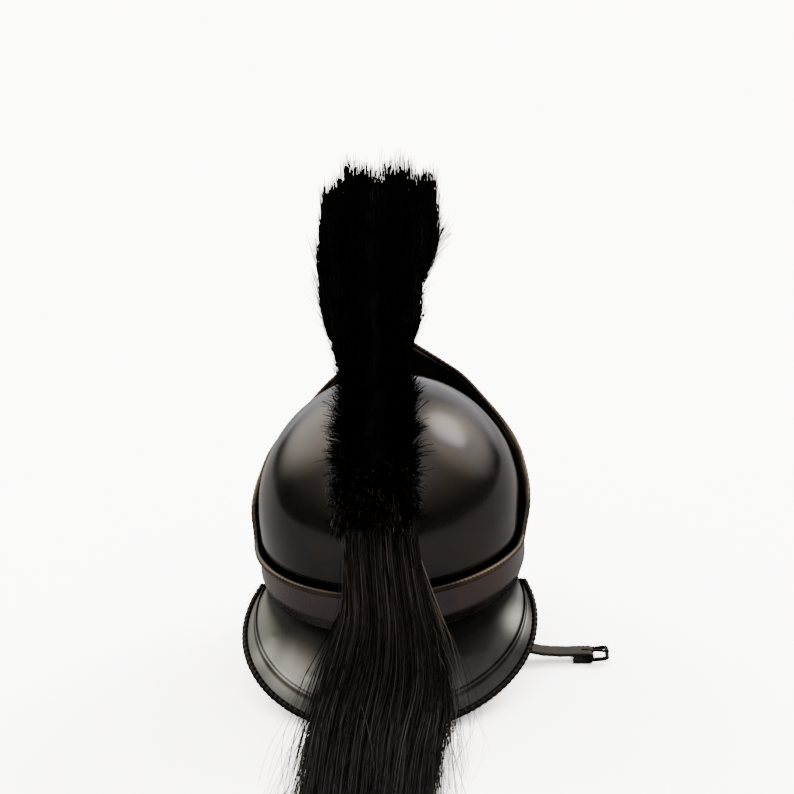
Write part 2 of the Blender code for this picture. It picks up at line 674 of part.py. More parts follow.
def make_buckle(material):
    """A frame of round wire with the strap's fold on its near bar, and a prong that lies on it."""
    bar, wire, half, corner = buckle_bar(), BUCKLE_WIRE_RADIUS, BUCKLE_HALF_WIDTH, BUCKLE_CORNER
    far = bar.x - BUCKLE_LENGTH

    def height(x):
        return bar.z + (bar.x - x) * BUCKLE_LIFT / BUCKLE_LENGTH

    outline = []
    corners = ((bar.x, 1, 0), (far, 1, 90), (far, -1, 180), (bar.x, -1, 270))
    for x, side, start in corners:
        inward = -corner if x == bar.x else corner
        for step in range(4):
            turn = math.radians(start + 30 * step)
            across = x + inward + corner * math.cos(turn)
            outline.append(Vector((
                across, STRAP_PLACE + side * (half - corner) + corner * math.sin(turn), height(across)
            )))
    add_tube("buckle_frame", outline, wire, True, material)

    rest = wire + PRONG_RADIUS + GAP
    prong = [
        bar + rest * Vector((-math.cos(math.radians(turn)), 0, math.sin(math.radians(turn))))
        for turn in (200, 160, 120, 80, 50)
    ]
    for share in (0.35, 0.65, 1 + 0.8 * wire / BUCKLE_LENGTH):
        x = bar.x - share * BUCKLE_LENGTH
        prong.append(Vector((x, STRAP_PLACE + (share - 0.35) * PRONG_SWAY, height(x) + rest * 1.05)))
    add_tube("buckle_prong", prong, PRONG_RADIUS, False, material)


def make_prong_slot(strap):
    """The slot in the strap's fold that the prong's hook comes through."""
    bar = buckle_bar()
    reach = BUCKLE_WIRE_RADIUS + STRAP_THICKNESS + 5 * GAP
    bm = bmesh.new()
    bmesh.ops.create_cube(bm, size=2)
    bmesh.ops.scale(bm, vec=(reach, PRONG_RADIUS + GAP, 2 * reach), verts=bm.verts)
    bmesh.ops.translate(bm, vec=bar, verts=bm.verts)
    add_cutter("slot_cutter", bm, [strap])


def main():
    steel = new_material("blackened steel", (0.055, 0.053, 0.058), 0.28, 1.0)
    rim_steel = new_material("dark rolled steel", (0.040, 0.038, 0.040), 0.38, 1.0)
    guard_steel = new_material("satin steel", (0.070, 0.072, 0.066), 0.42, 1.0)
    holder_steel = new_material("holder steel", (0.030, 0.030, 0.030), 0.50, 1.0)
    crest_hair = new_material("crest horsehair", (0.008, 0.007, 0.007), 0.60, 0.0)
    tail_hair = new_material("tail horsehair", (0.014, 0.012, 0.012), 0.50, 0.0)
    leather = new_material("olive strap leather", (0.105, 0.080, 0.045), 0.70, 0.0)
    iron = new_material("black buckle iron", (0.020, 0.020, 0.022), 0.40, 1.0)

    dome = make_skull_dome(steel)
    wall = make_face_wall(steel)
    cut_face_opening(wall, dome)
    make_brow_roll(rim_steel)
    make_neck_guard(guard_steel)
    make_guard_roll(rim_steel)
    make_crest_holder(holder_steel)
    make_crest_brush(crest_hair)
    make_tail(tail_hair)
    tongue_half = make_strap("strap_left", 1, leather)
    make_strap_holes(tongue_half)
    buckle_half = make_strap("strap_right", -1, leather)
    make_pin("strap_pin_left", 1, tongue_half, iron)
    make_pin("strap_pin_right", -1, buckle_half, iron)
    make_buckle(iron)
    make_prong_slot(buckle_half)


clear_scene()
PIECES = new_collection("plumed_helmet")
CUTTERS = new_collection("cutters")
HEAD = bpy.data.objects.new("head_axis", None)
PIECES.objects.link(HEAD)
front = max(share for _, share in WALL_LEAN) * (DOME_HALF_LENGTH + GAP) + SHEET
HEAD.location = (0, (front - TAIL_REACH) / 2, 0)
main()
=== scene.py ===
# %% [markdown]
# # A plumed helmet in a white studio
#
# The helmet is a blackened steel skull in an open-faced Greek shape. It stands on a white floor with
# its back towards us, on the feet of its cheek plates and the back of its neck guard. An upright
# brush of black horsehair runs along the crown, and a long tail hangs from the end of it, over the
# neck guard and onto the floor. This lesson starts from the measured CAD model, which is loaded as a
# fixed frame, and gives each piece the surface of the real one.

# %% Load the measured model
import math
import random

import bmesh
import bpy
import numpy as np
from mathutils import Matrix, Vector, noise


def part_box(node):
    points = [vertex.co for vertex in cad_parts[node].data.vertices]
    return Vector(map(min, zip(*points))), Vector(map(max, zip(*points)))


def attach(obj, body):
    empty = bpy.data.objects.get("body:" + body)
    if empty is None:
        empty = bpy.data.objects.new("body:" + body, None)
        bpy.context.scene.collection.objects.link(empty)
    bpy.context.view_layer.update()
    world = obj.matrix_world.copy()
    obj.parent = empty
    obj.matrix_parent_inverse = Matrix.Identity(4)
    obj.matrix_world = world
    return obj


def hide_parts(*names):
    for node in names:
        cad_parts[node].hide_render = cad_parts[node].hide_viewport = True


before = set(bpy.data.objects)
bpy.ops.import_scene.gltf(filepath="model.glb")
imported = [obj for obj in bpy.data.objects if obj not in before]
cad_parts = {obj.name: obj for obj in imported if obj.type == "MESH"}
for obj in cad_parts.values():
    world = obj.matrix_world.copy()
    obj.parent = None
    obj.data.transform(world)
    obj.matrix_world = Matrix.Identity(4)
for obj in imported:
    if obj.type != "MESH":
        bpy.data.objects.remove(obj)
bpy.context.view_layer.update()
print("solids in the frame:", sorted(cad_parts))

# %% [markdown]
# The CAD model has its origin on the floor, under the middle of the whole object. The dome's own
# middle is a little in front of that, and every size below is counted from it, so one value moves
# the helmet's drawing into the frame. It is read from the dome's box rather than typed in.

# %% The middle of the dome
GAP = 0.0003
SHEET = 0.0012
ROLL_RADIUS = 0.0026
RIM_HEIGHT = 0.093
DOME_HALF_WIDTH = 0.104
DOME_HALF_LENGTH = 0.127
DOME_RISE = 0.100
EQUATOR_ABOVE_RIM = 0.0285
EQUATOR_HEIGHT = RIM_HEIGHT + EQUATOR_ABOVE_RIM
SKIRT_BELOW_RIM = 0.0025
SKIRT_DEPTH = EQUATOR_ABOVE_RIM + SKIRT_BELOW_RIM
low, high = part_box("skull_dome")
MIDDLE = Vector((0, high[1] - DOME_HALF_LENGTH, 0))
print("the dome's middle lies at y =", round(MIDDLE.y, 4))

# %% [markdown]
# Two small functions turn a bmesh into a mesh, and a mesh or a camera into an object of the scene.
# The others are for shaders. A shader is a tree of nodes, and each node is made, set and linked in
# the same way, so one function gives inputs plain values or links, and the rest add the steps that
# come back again and again: a noise, a change of range, a sum, a mix and a bump.

# %% Small helpers
def take_mesh(name, bm):
    mesh = bpy.data.meshes.new(name)
    bm.to_mesh(mesh)
    bm.free()
    return mesh


def add_object(name, data):
    made = bpy.data.objects.new(name, data)
    bpy.context.scene.collection.objects.link(made)
    return made


def set_inputs(tree, node, inputs):
    """Gives each named input a plain value, or links it to another node's output."""
    for key, value in inputs.items():
        if isinstance(value, bpy.types.NodeSocket):
            tree.links.new(value, node.inputs[key])
        else:
            node.inputs[key].default_value = value


def add_node(tree, kind, inputs=None, **settings):
    node = tree.nodes.new("ShaderNode" + kind)
    for key, value in settings.items():
        setattr(node, key, value)
    set_inputs(tree, node, inputs or {})
    return node


def new_material(name):
    material = bpy.data.materials.new(name)
    material.use_nodes = True
    return material, material.node_tree, material.node_tree.nodes["Principled BSDF"]


def link_noise(tree, vector, scale, detail, roughness=0.55, distortion=0.0):
    return add_node(tree, "TexNoise", {
        "Vector": vector, "Scale": scale, "Detail": detail, "Roughness": roughness, "Distortion": distortion,
    }).outputs["Fac"]


def link_range(tree, value, low, high, to_low=0.0, to_high=1.0):
    """Spreads the part of a value between low and high over a new range."""
    return add_node(tree, "MapRange", {
        "Value": value, "From Min": low, "From Max": high, "To Min": to_low, "To Max": to_high,
    }, interpolation_type="SMOOTHSTEP").outputs["Result"]


def link_math(tree, operation, first, second):
    return add_node(tree, "Math", {0: first, 1: second}, operation=operation).outputs[0]


def link_mix(tree, share, first, second):
    """Mixes two colours, each a plain colour or another node's."""
    first, second = ((*colour, 1) if isinstance(colour, tuple) else colour for colour in (first, second))
    mix = add_node(tree, "Mix", {"Factor": share, "A": first, "B": second}, data_type="RGBA")
    return mix.outputs["Result"]


def link_bump(tree, height, strength, distance):
    return add_node(tree, "Bump", {
        "Height": height, "Strength": strength, "Distance": distance,
    }).outputs["Normal"]


def mix_for_camera(tree, lit, seen):
    """One shader for light and reflections, and another for rays that come straight from the camera."""
    path = add_node(tree, "LightPath")
    return add_node(tree, "MixShader", {0: path.outputs["Is Camera Ray"], 1: lit, 2: seen}).outputs["Shader"]


print("helpers ready")

# %% [markdown]
# The camera stands 1.2 m from the dome, looks 16 degrees down and a little to one side, and is
# rolled a few degrees, as a hand-held camera is. A long lens keeps the tall crest and the low guard
# in proportion. Its matrix is built from three directions, because that says a roll exactly.

# %% The camera
PHOTO_SIZE = 794
CAMERA_TURN, CAMERA_RISE, CAMERA_ROLL = 6.06, 16.10, 3.53
CAMERA_DISTANCE = 1.2
LENS_PIXELS = 1500.0
DOME_PIXEL = (390.0, 500.0)


def place_camera():
    turn, rise, roll = (math.radians(a) for a in (CAMERA_TURN, CAMERA_RISE, CAMERA_ROLL))
    forward = Vector((math.sin(turn) * math.cos(rise), -math.cos(turn) * math.cos(rise), -math.sin(rise)))
    right = forward.cross(Vector((0, 0, 1))).normalized()
    up = right.cross(forward)
    right, up = right * math.cos(roll) - up * math.sin(roll), up * math.cos(roll) + right * math.sin(roll)
    across = (DOME_PIXEL[0] - PHOTO_SIZE / 2) / LENS_PIXELS
    above = (PHOTO_SIZE / 2 - DOME_PIXEL[1]) / LENS_PIXELS
    ray = (forward + right * across + up * above).normalized()
    target = MIDDLE + Vector((0, 0, EQUATOR_HEIGHT))
    data = bpy.data.cameras.new("camera")
    data.sensor_width = 36.0
    data.lens = 36.0 * LENS_PIXELS / PHOTO_SIZE
    camera = add_object("camera", data)
    camera.matrix_world = Matrix((
        (right.x, up.x, -forward.x, 0), (right.y, up.y, -forward.y, 0), (right.z, up.z, -forward.z, 0),
        (0, 0, 0, 1),
    ))
    camera.location = target - ray * CAMERA_DISTANCE
    bpy.context.scene.camera = camera
    return camera


camera = place_camera()
print("camera at", [round(c, 3) for c in camera.location])

# %% [markdown]
# The real helmet stands on white paper that the photographer let burn out to pure white. So the paper
# shows much brighter to the camera than it does to the steel: its shader asks whether a ray comes
# straight from the camera. Its shadows stay, only fainter. The paper is so wide that no edge shows.

# %% The white paper
FLOOR_HALF_SIZE = 90.0
FLOOR_GAIN = 9.0
FLOOR_TINT = (0.40, 0.395, 0.40, 1)
FLOOR_SEEN = (FLOOR_GAIN, 0.985 * FLOOR_GAIN, FLOOR_GAIN, 1)


def lay_floor():
    bm = bmesh.new()
    bmesh.ops.create_grid(bm, x_segments=1, y_segments=1, size=FLOOR_HALF_SIZE)
    mesh = take_mesh("studio_floor", bm)
    material, tree, shader = new_material("white paper")
    set_inputs(tree, shader, {"Base Color": FLOOR_TINT, "Roughness": 0.9, "Specular IOR Level": 0.1})
    seen = add_node(tree, "BsdfDiffuse", {"Color": FLOOR_SEEN})
    both = mix_for_camera(tree, shader.outputs["BSDF"], seen.outputs["BSDF"])
    set_inputs(tree, tree.nodes["Material Output"], {"Surface": both})
    mesh.materials.append(material)
    add_object("studio_floor", mesh)


lay_floor()
print("paper laid")

# %% [markdown]
# Polished black steel has almost no colour of its own: it shows the room. The dome's bright rims are
# white paper that stands ahead of the helmet. Its soft highlight is a window high on the right, and
# its black middle is the dark end of the room behind the camera. So the world is drawn as that room:
# a glow that grows with height, and soft round patches, each with a direction, a size and a colour.
# The camera itself sees a white wall behind the paper's end, as it does in the studio.

# %% The room's light
SEEN_WALL = 12.0
ROOM_GLOW = (
    # height of the direction, colour
    (0.00, (0.090, 0.080, 0.068)), (0.26, (0.135, 0.120, 0.102)), (0.52, (0.42, 0.39, 0.35)),
    (0.76, (0.95, 0.91, 0.86)), (1.00, (1.05, 1.03, 1.02)),
)
ROOM_PATCHES = (
    # direction of the middle, angle of the full part, angle of its edge, colour
    ((0.0, -1.0, 0.0), 26, 38, (1.0, 0.98, 1.04)),
    ((0.56, -0.56, 0.61), 4, 34, (3.1, 3.0, 2.8)),
    ((-0.60, -0.52, 0.55), 4, 32, (2.5, 2.4, 2.28)),
    ((-0.55, -0.54, 0.64), 2, 15, (9.0, 8.7, 8.3)),
)


def light_room():
    world = bpy.data.worlds.new("studio")
    bpy.context.scene.world = world
    world.use_nodes = True
    tree = world.node_tree
    tree.nodes.clear()
    direction = add_node(tree, "TexCoord").outputs["Generated"]
    split = add_node(tree, "SeparateXYZ", {"Vector": direction})
    glow = add_node(tree, "ValToRGB", {"Fac": split.outputs["Z"]})
    ends = glow.color_ramp.elements
    for number, (height, colour) in enumerate(ROOM_GLOW):
        stop = ends[number] if number < 2 else ends.new(height)
        stop.position, stop.color = height, (*colour, 1)
    colour = glow.outputs["Color"]
    for middle, full, edge, patch in ROOM_PATCHES:
        toward = Vector(middle).normalized()
        near = add_node(tree, "VectorMath", {0: direction, 1: toward}, operation="DOT_PRODUCT")
        reach = (math.cos(math.radians(edge)), math.cos(math.radians(full)))
        colour = link_mix(tree, link_range(tree, near.outputs["Value"], *reach), colour, patch)
    light = add_node(tree, "Background", {"Color": colour})
    seen = add_node(tree, "Background", {"Strength": SEEN_WALL})
    add_node(tree, "OutputWorld", {"Surface": mix_for_camera(tree, light.outputs[0], seen.outputs[0])})


light_room()
print("room lit with", len(ROOM_PATCHES), "patches")

# %% [markdown]
# Most of the forms here are read from short tables, such as the height of a rim by its angle. Two
# small readers do that: one gives a smooth value between the rows of a table, and one gives a point
# on a smooth curve through some points. They are the readers that the CAD model was made with.

# %% Readers for tables and paths
def smooth_value(table, at, column=1):
    """Reads one column of a table between its rows, smoothly and without overshoot."""
    if at <= table[0][0]:
        return table[0][column]
    if at >= table[-1][0]:
        return table[-1][column]
    row = max(i for i in range(len(table) - 1) if table[i][0] <= at)
    steps = [(b[column] - a[column]) / (b[0] - a[0]) for a, b in zip(table[:-1], table[1:])]

    def slope(i):
        if i == 0 or i == len(steps) or steps[i - 1] * steps[i] <= 0:
            return 0.0
        return 2 * steps[i - 1] * steps[i] / (steps[i - 1] + steps[i])

    width = table[row + 1][0] - table[row][0]
    t = (at - table[row][0]) / width
    start, end = table[row][column], table[row + 1][column]
    return (
        start * (2 * t**3 - 3 * t**2 + 1)
        + end * (3 * t**2 - 2 * t**3)
        + width * slope(row) * (t**3 - 2 * t**2 + t)
        + width * slope(row + 1) * (t**3 - t**2)
    )


def smooth_path(points, share):
    """A point on the Catmull-Rom curve through the points, at a share of their number."""
    place = min(max(share, 0.0), 1.0) * (len(points) - 1)
    i = min(int(place), len(points) - 2)
    t = place - i
    a, b = points[max(i - 1, 0)], points[i]
    c, d = points[i + 1], points[min(i + 2, len(points) - 1)]
    return 0.5 * (
        2 * b + (c - a) * t + (2 * a - 5 * b + 4 * c - d) * t**2 + (3 * b - a - 3 * c + d) * t**3
    )


print("readers ready")

# %% [markdown]
# Every piece is finished the same way: its bmesh becomes an object that sits at the origin, its
# faces are shaded smooth, it rides on the root, and the solids that it stands for are hidden.

# %% Making a piece
def laid_grid(columns, rows, place, closed=False):
    """A grid of cells laid over a surface: place(u, v) gives each point, u and v from 0 to 1."""
    bm = bmesh.new()
    bmesh.ops.create_grid(bm, x_segments=columns, y_segments=rows, size=0.5)
    strip = bm.loops.layers.uv.new("strip")
    for face in bm.faces:
        for loop in face.loops:
            loop[strip].uv = (loop.vert.co.x + 0.5, loop.vert.co.y + 0.5)
    for vert in bm.verts:
        vert.co = place(vert.co.x + 0.5, vert.co.y + 0.5)
    if closed:
        bmesh.ops.remove_doubles(bm, verts=bm.verts, dist=0.00001)
    return bm


def dress(name, mesh, material, nodes=()):
    """Makes a mesh a piece of the helmet: it rides on the root and stands for the nodes."""
    mesh.materials.append(material)
    mesh.shade_smooth()
    piece = add_object(name, mesh)
    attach(piece, "root")
    if nodes:
        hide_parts(*nodes)
    print(name, "has", len(mesh.polygons), "faces")
    return piece


def finish_piece(name, bm, material, nodes=()):
    return dress(name, take_mesh(name, bm), material, nodes)


def apply_modifiers(piece):
    """Keeps the shape that the modifiers make, and takes the modifiers off."""
    shape = piece.evaluated_get(bpy.context.evaluated_depsgraph_get())
    mesh = bpy.data.meshes.new_from_object(shape)
    piece.modifiers.clear()
    piece.data = mesh
    mesh.shade_smooth()


def give_thickness(piece, thickness, offset):
    wall = piece.modifiers.new("sheet", "SOLIDIFY")
    wall.thickness = thickness
    wall.offset = offset
    wall.use_even_offset = True
    apply_modifiers(piece)


print("a piece can be made")

# %% [markdown]
# Old blackened steel is never one even black. Fingers and polish leave cloudy smudges that change
# the gloss, and years of cleaning leave hair-fine scratches. Every steel piece has both, so they
# are one node group that gives two masks, and each steel uses them with its own strength.

# %% The group for smudges and scratches
SMUDGE_SCALE = 14
SCRATCHES = ((0.5, (900, 9, 40)), (-0.9, (12, 700, 30)), (0.2, (60, 14, 1100)))  # turn, stretch


def make_wear_group():
    group = bpy.data.node_groups.new("smudges and scratches", "ShaderNodeTree")
    group.interface.new_socket("Vector", in_out="INPUT", socket_type="NodeSocketVector")
    group.interface.new_socket("Smudge", in_out="OUTPUT", socket_type="NodeSocketFloat")
    group.interface.new_socket("Scratch", in_out="OUTPUT", socket_type="NodeSocketFloat")
    place = group.nodes.new("NodeGroupInput").outputs["Vector"]
    out = group.nodes.new("NodeGroupOutput")
    cloud = link_noise(group, place, SMUDGE_SCALE, 7, 0.62, 0.6)
    masks = []
    for turn, stretch in SCRATCHES:
        slant = add_node(group, "Mapping", {
            "Vector": place, "Rotation": (turn, 0.4 * turn, turn), "Scale": stretch,
        }).outputs["Vector"]
        masks.append(link_range(group, link_noise(group, slant, 1.0, 2), 0.69, 0.80))
    both = link_math(group, "MAXIMUM", masks[0], masks[1])
    lines = link_math(group, "MAXIMUM", both, masks[2])
    set_inputs(group, out, {"Smudge": link_range(group, cloud, 0.36, 0.66), "Scratch": lines})
    return group


WEAR = make_wear_group()
print("wear group has", len(WEAR.nodes), "nodes")

# %% [markdown]
# A steel is the same recipe with other numbers: a dark metal, a second tint where it is smudged, two
# roughnesses to go between, a slow unevenness from the hammer and a fine grain. A table keeps the
# recipes side by side, which makes it plain how the satin guard differs from the polished dome.

# %% The steels
STEELS = {
    # name: colour, smudged colour, clean roughness, smudged roughness, hammer bump, grain bump,
    # how much brighter its colour is painted on the left, the lit side, than on the right: a painted
    # highlight
    "polished dome steel": ((0.050, 0.047, 0.049), (0.066, 0.057, 0.049), 0.12, 0.22, 0.16, 0.02, 0.0),
    "polished band steel": ((0.092, 0.077, 0.080), (0.130, 0.105, 0.095), 0.26, 0.38, 0.20, 0.004, 0.1),
    "satin guard steel": ((0.056, 0.058, 0.053), (0.092, 0.091, 0.083), 0.30, 0.45, 0.30, 0.06, 0.4),
    "roped rim steel": ((0.013, 0.012, 0.012), (0.030, 0.024, 0.020), 0.34, 0.50, 0.10, 0.08, 0.0),
    "rolled brow steel": ((0.048, 0.038, 0.031), (0.125, 0.090, 0.064), 0.28, 0.45, 0.10, 0.08, 0.0),
    "plain holder steel": ((0.020, 0.020, 0.020), (0.032, 0.030, 0.028), 0.50, 0.60, 0.10, 0.05, 0.0),
    "black buckle iron": ((0.008, 0.008, 0.009), (0.018, 0.017, 0.016), 0.30, 0.45, 0.05, 0.05, 0.0),
}

HAMMER_SCALE, GRAIN_SCALE = 26, 900
LIT_SIDE_REACH = 0.1
STEEL_BUMP_STRENGTH, STEEL_BUMP_DISTANCE = 0.35, 0.002
SCRATCH_ROUGHNESS, SCRATCH_DEPTH = 0.07, 0.004
# Near black, painted as shade where the guard comes out of the band.
GUARD_PAINTED_SHADE = (0.004, 0.0036, 0.0034)
# A bright steel colour, painted on the guard as highlights where it catches the light.
PAINTED_HIGHLIGHT_STEEL = (0.58, 0.565, 0.53)
GUARD_PAINTED_HIGHLIGHTS = (
    # painted highlights on the guard, where it catches the light: place, radius of the full part and of its
    # edge, strength
    ((0.066, 0.024, 0.033), 0.004, 0.040, 0.9), ((-0.102, -0.022, 0.045), 0.004, 0.030, 0.25),
    ((0.090, 0.004, 0.034), 0.002, 0.024, 0.35), ((-0.050, 0.040, 0.022), 0.002, 0.020, 0.12),
)


def strip_across(tree):
    """How far across its own strip a point is, from 0 to 1, by the piece's UV map."""
    uv = add_node(tree, "UVMap", uv_map="strip")
    return add_node(tree, "SeparateXYZ", {"Vector": uv.outputs["UV"]}).outputs["Y"]


def paint_guard_light_and_shade(tree, coords, tint):
    """The guard gets painted highlights in places, and painted shade, near black, where it comes out of the
    band.
    """
    # Painted highlights: soft bright blobs of colour where the guard catches the light.
    for place, full, edge, share in GUARD_PAINTED_HIGHLIGHTS:
        apart = add_node(tree, "VectorMath", {0: coords, 1: place}, operation="DISTANCE")
        highlight_share = link_range(tree, apart.outputs["Value"], full, edge, 1, 0)
        highlight_share = link_math(tree, "MULTIPLY", link_math(tree, "MULTIPLY", highlight_share, highlight_share), share)
        tint = link_mix(tree, highlight_share, tint, PAINTED_HIGHLIGHT_STEEL)
    # Painted shade: near black at the collar, fading out across the upper part of the guard.
    return link_mix(tree, link_range(tree, strip_across(tree), 0.06, 0.42), GUARD_PAINTED_SHADE, tint)


def make_steel(name):
    colour, smudged, smooth, rough, hammer, grain, side = STEELS[name]
    material, tree, shader = new_material(name)
    coords = add_node(tree, "TexCoord").outputs["Object"]
    wear = add_node(tree, "Group", node_tree=WEAR)
    set_inputs(tree, wear, {"Vector": coords})
    smudge, scratch = wear.outputs["Smudge"], wear.outputs["Scratch"]
    tint = link_mix(tree, smudge, colour, smudged)
    # Painted light: the colour is brighter on the left, where the light falls, and darker on the right.
    if side:
        left = add_node(tree, "SeparateXYZ", {"Vector": coords}).outputs["X"]
        shade = link_range(tree, left, -LIT_SIDE_REACH, LIT_SIDE_REACH, 1 - side, 1 + side)
        lit_side_tint = add_node(tree, "VectorMath", {"Vector": tint, "Scale": shade}, operation="SCALE")
        tint = lit_side_tint.outputs["Vector"]
    if "guard" in name:
        tint = paint_guard_light_and_shade(tree, coords, tint)
    gloss = link_math(
        tree, "ADD", link_range(tree, smudge, 0, 1, smooth, rough),
        link_math(tree, "MULTIPLY", scratch, SCRATCH_ROUGHNESS),
    )
    slow = link_math(tree, "MULTIPLY", link_noise(tree, coords, HAMMER_SCALE, 1.5, 0.4), hammer)
    fine = link_math(tree, "MULTIPLY", link_noise(tree, coords, GRAIN_SCALE, 3), grain)
    height = link_math(
        tree, "SUBTRACT", link_math(tree, "ADD", slow, fine),
        link_math(tree, "MULTIPLY", scratch, SCRATCH_DEPTH),
    )
    set_inputs(tree, shader, {
        "Metallic": 1.0, "Base Color": tint, "Roughness": gloss,
        "Normal": link_bump(tree, height, STEEL_BUMP_STRENGTH, STEEL_BUMP_DISTANCE),
    })
    return material


STEEL = {name: make_steel(name) for name in STEELS}
print("steels made:", len(STEEL))

# %% [markdown]
# The dome is half of an ellipsoid, raised from one sheet, over a short straight skirt that slides
# inside the wall. A UV sphere is cut at its waist and the open edge is drawn down. A smith's dome is
# never a perfect ellipsoid, so each point is moved by less than half a millimetre of slow noise,
# which bends the reflections the way the real ones are bent.

# %% The skull dome
DOME_WAVE = 0.00028


def make_dome():
    bm = bmesh.new()
    bmesh.ops.create_uvsphere(bm, u_segments=176, v_segments=96, radius=1)
    below = [vert for vert in bm.verts if vert.co.z < -0.01]
    bmesh.ops.delete(bm, geom=below, context="VERTS")
    bmesh.ops.scale(bm, vec=(DOME_HALF_WIDTH, DOME_HALF_LENGTH, DOME_RISE), verts=bm.verts)
    bmesh.ops.translate(bm, vec=MIDDLE + Vector((0, 0, EQUATOR_HEIGHT)), verts=bm.verts)
    bm.normal_update()
    for vert in bm.verts:
        above = min(1, (vert.co.z - EQUATOR_HEIGHT) / 0.01)
        vert.co -= vert.normal * DOME_WAVE * above * (1 + noise.noise(vert.co * 38))
    for depth in (0.4, 0.6):
        rim = [edge for edge in bm.edges if edge.is_boundary]
        skirt = bmesh.ops.extrude_edge_only(bm, edges=rim)["geom"]
        skirt = [item for item in skirt if isinstance(item, bmesh.types.BMVert)]
        bmesh.ops.translate(bm, vec=(0, 0, -depth * SKIRT_DEPTH), verts=skirt)
    bmesh.ops.recalc_face_normals(bm, faces=bm.faces)
    dome = finish_piece("dome", bm, STEEL["polished dome steel"], ["skull_dome"])
    give_thickness(dome, SHEET, -1)
    return dome


dome = make_dome()

# %% [markdown]
# One sheet is the low band behind, the peaked brow plate and the two cheek plates in front. Its
# place follows two facts at each angle round the head, how high its top edge is and how low its
# bottom edge is, and a third by height, how far it leans in. A grid wrapped round the head takes
# them from tables.

# %% The wall's tables
PEAK_HEIGHT = 0.2245
BAND_HEIGHT = 0.0295
BAND_BOTTOM = RIM_HEIGHT - BAND_HEIGHT
TOP_EDGE = (
    (0, 1.00), (7, 0.925), (20, 0.815), (30, 0.74), (45, 0.59), (58, 0.49), (70, 0.405),
    (77, 0.33), (84, 0.265), (91, 0.19), (97, 0.09), (103, 0.02), (110, 0.00), (180, 0.00),
)
BOTTOM_EDGE = (
    (0, 1.03), (40, 1.03), (46, 0.97), (53, 0.86), (62, 0.62), (72, 0.32), (82, 0.08),
    (90, 0.00), (180, 0.00),
)
WALL_LEAN = (
    (-0.048, 0.90), (0.072, 0.90), (0.338, 0.930), (0.683, 0.967), (0.816, 1.002), (1.027, 1.002),
    (1.189, 1.025), (1.437, 1.01), (1.744, 0.99), (2.034, 0.97),
)


def wall_share(height):
    """How large the wall is in plan: its height counts as 0 on the floor, 1 at the rim, 2 at the peak."""
    above = (height - RIM_HEIGHT) / (PEAK_HEIGHT - RIM_HEIGHT)
    return smooth_value(WALL_LEAN, 1 + above if above > 0 else height / RIM_HEIGHT)


def wall_point(angle, height, outward=0.0):
    """A point on the wall's inner face, or that far outside it; the angle is from the front."""
    share = wall_share(height)
    turn = math.radians(angle)
    return MIDDLE + Vector((
        ((DOME_HALF_WIDTH + GAP) * share + outward) * math.sin(turn),
        -((DOME_HALF_LENGTH + GAP) * share + outward) * math.cos(turn),
        height,
    ))


def from_front(angle):
    """The same angle as 0 to 180 degrees either side of the front."""
    return abs((angle + 180) % 360 - 180)


def top_height(angle):
    return RIM_HEIGHT + (PEAK_HEIGHT - RIM_HEIGHT) * smooth_value(TOP_EDGE, from_front(angle))


def bottom_height(angle):
    return BAND_BOTTOM * (1 - smooth_value(BOTTOM_EDGE, from_front(angle)))


print("the wall is", round(1000 * (wall_point(90, 0.09).x - wall_point(270, 0.09).x)), "mm wide")

# %% [markdown]
# The face opening is cut through the wall, and through the dome's skirt behind it, with a solid drawn
# from half an outline and its mirror image. A second cut at floor height makes the cheek plates end
# flat, because the helmet stands on them.

# %% The wall and its open face
FACE_HALF_WIDTH = 0.052
BROW_HEIGHT = 0.110
FACE_OUTLINE = (
    (0.00, 1.00), (0.30, 1.01), (0.60, 1.05), (0.86, 1.04), (1.00, 0.95), (0.97, 0.83),
    (0.82, 0.70), (0.68, 0.56), (0.62, 0.40), (0.61, 0.22), (0.64, 0.05), (0.68, -0.10),
)


def make_wall():
    def place(u, v):
        angle = 360 * u
        low, high = bottom_height(angle), top_height(angle) + 0.8 * ROLL_RADIUS
        return wall_point(angle, low + (high - low) * v)

    bm = laid_grid(168, 36, place, closed=True)
    bmesh.ops.recalc_face_normals(bm, faces=bm.faces)
    wall = finish_piece("wall", bm, STEEL["polished band steel"], ["face_wall"])
    give_thickness(wall, SHEET, 1)
    return wall


def make_cutter(name, bm):
    bmesh.ops.recalc_face_normals(bm, faces=bm.faces)
    return add_object(name, take_mesh(name, bm))


def cut(pieces, cutter):
    """Takes the cutter's shape out of each piece, and puts the cutter away."""
    for piece in pieces:
        knife = piece.modifiers.new("cut", "BOOLEAN")
        knife.operation = "DIFFERENCE"
        knife.solver = "EXACT"
        knife.object = cutter
        apply_modifiers(piece)
    bpy.data.objects.remove(cutter)


def make_face_cutter():
    half = [Vector((x * FACE_HALF_WIDTH, 0, z * BROW_HEIGHT)) for x, z in FACE_OUTLINE]
    steps = 8 * (len(half) - 1)
    right = [smooth_path(half, i / steps) for i in range(steps + 1)]
    left = [Vector((-p.x, p.y, p.z)) for p in reversed(right[1:])]
    bm = bmesh.new()
    outline = bm.faces.new([bm.verts.new(MIDDLE + p) for p in right + left])
    drawn = bmesh.ops.extrude_face_region(bm, geom=[outline])["geom"]
    front = [item for item in drawn if isinstance(item, bmesh.types.BMVert)]
    bmesh.ops.translate(bm, vec=(0, -2 * DOME_HALF_LENGTH, 0), verts=front)
    return make_cutter("face_cutter", bm)


def make_floor_cutter():
    bm = bmesh.new()
    bmesh.ops.create_cube(bm, size=1)
    bmesh.ops.scale(bm, vec=(3 * DOME_HALF_WIDTH, 3 * DOME_HALF_LENGTH, BAND_BOTTOM), verts=bm.verts)
    bmesh.ops.translate(bm, vec=MIDDLE - Vector((0, 0, BAND_BOTTOM / 2)), verts=bm.verts)
    return make_cutter("floor_cutter", bm)


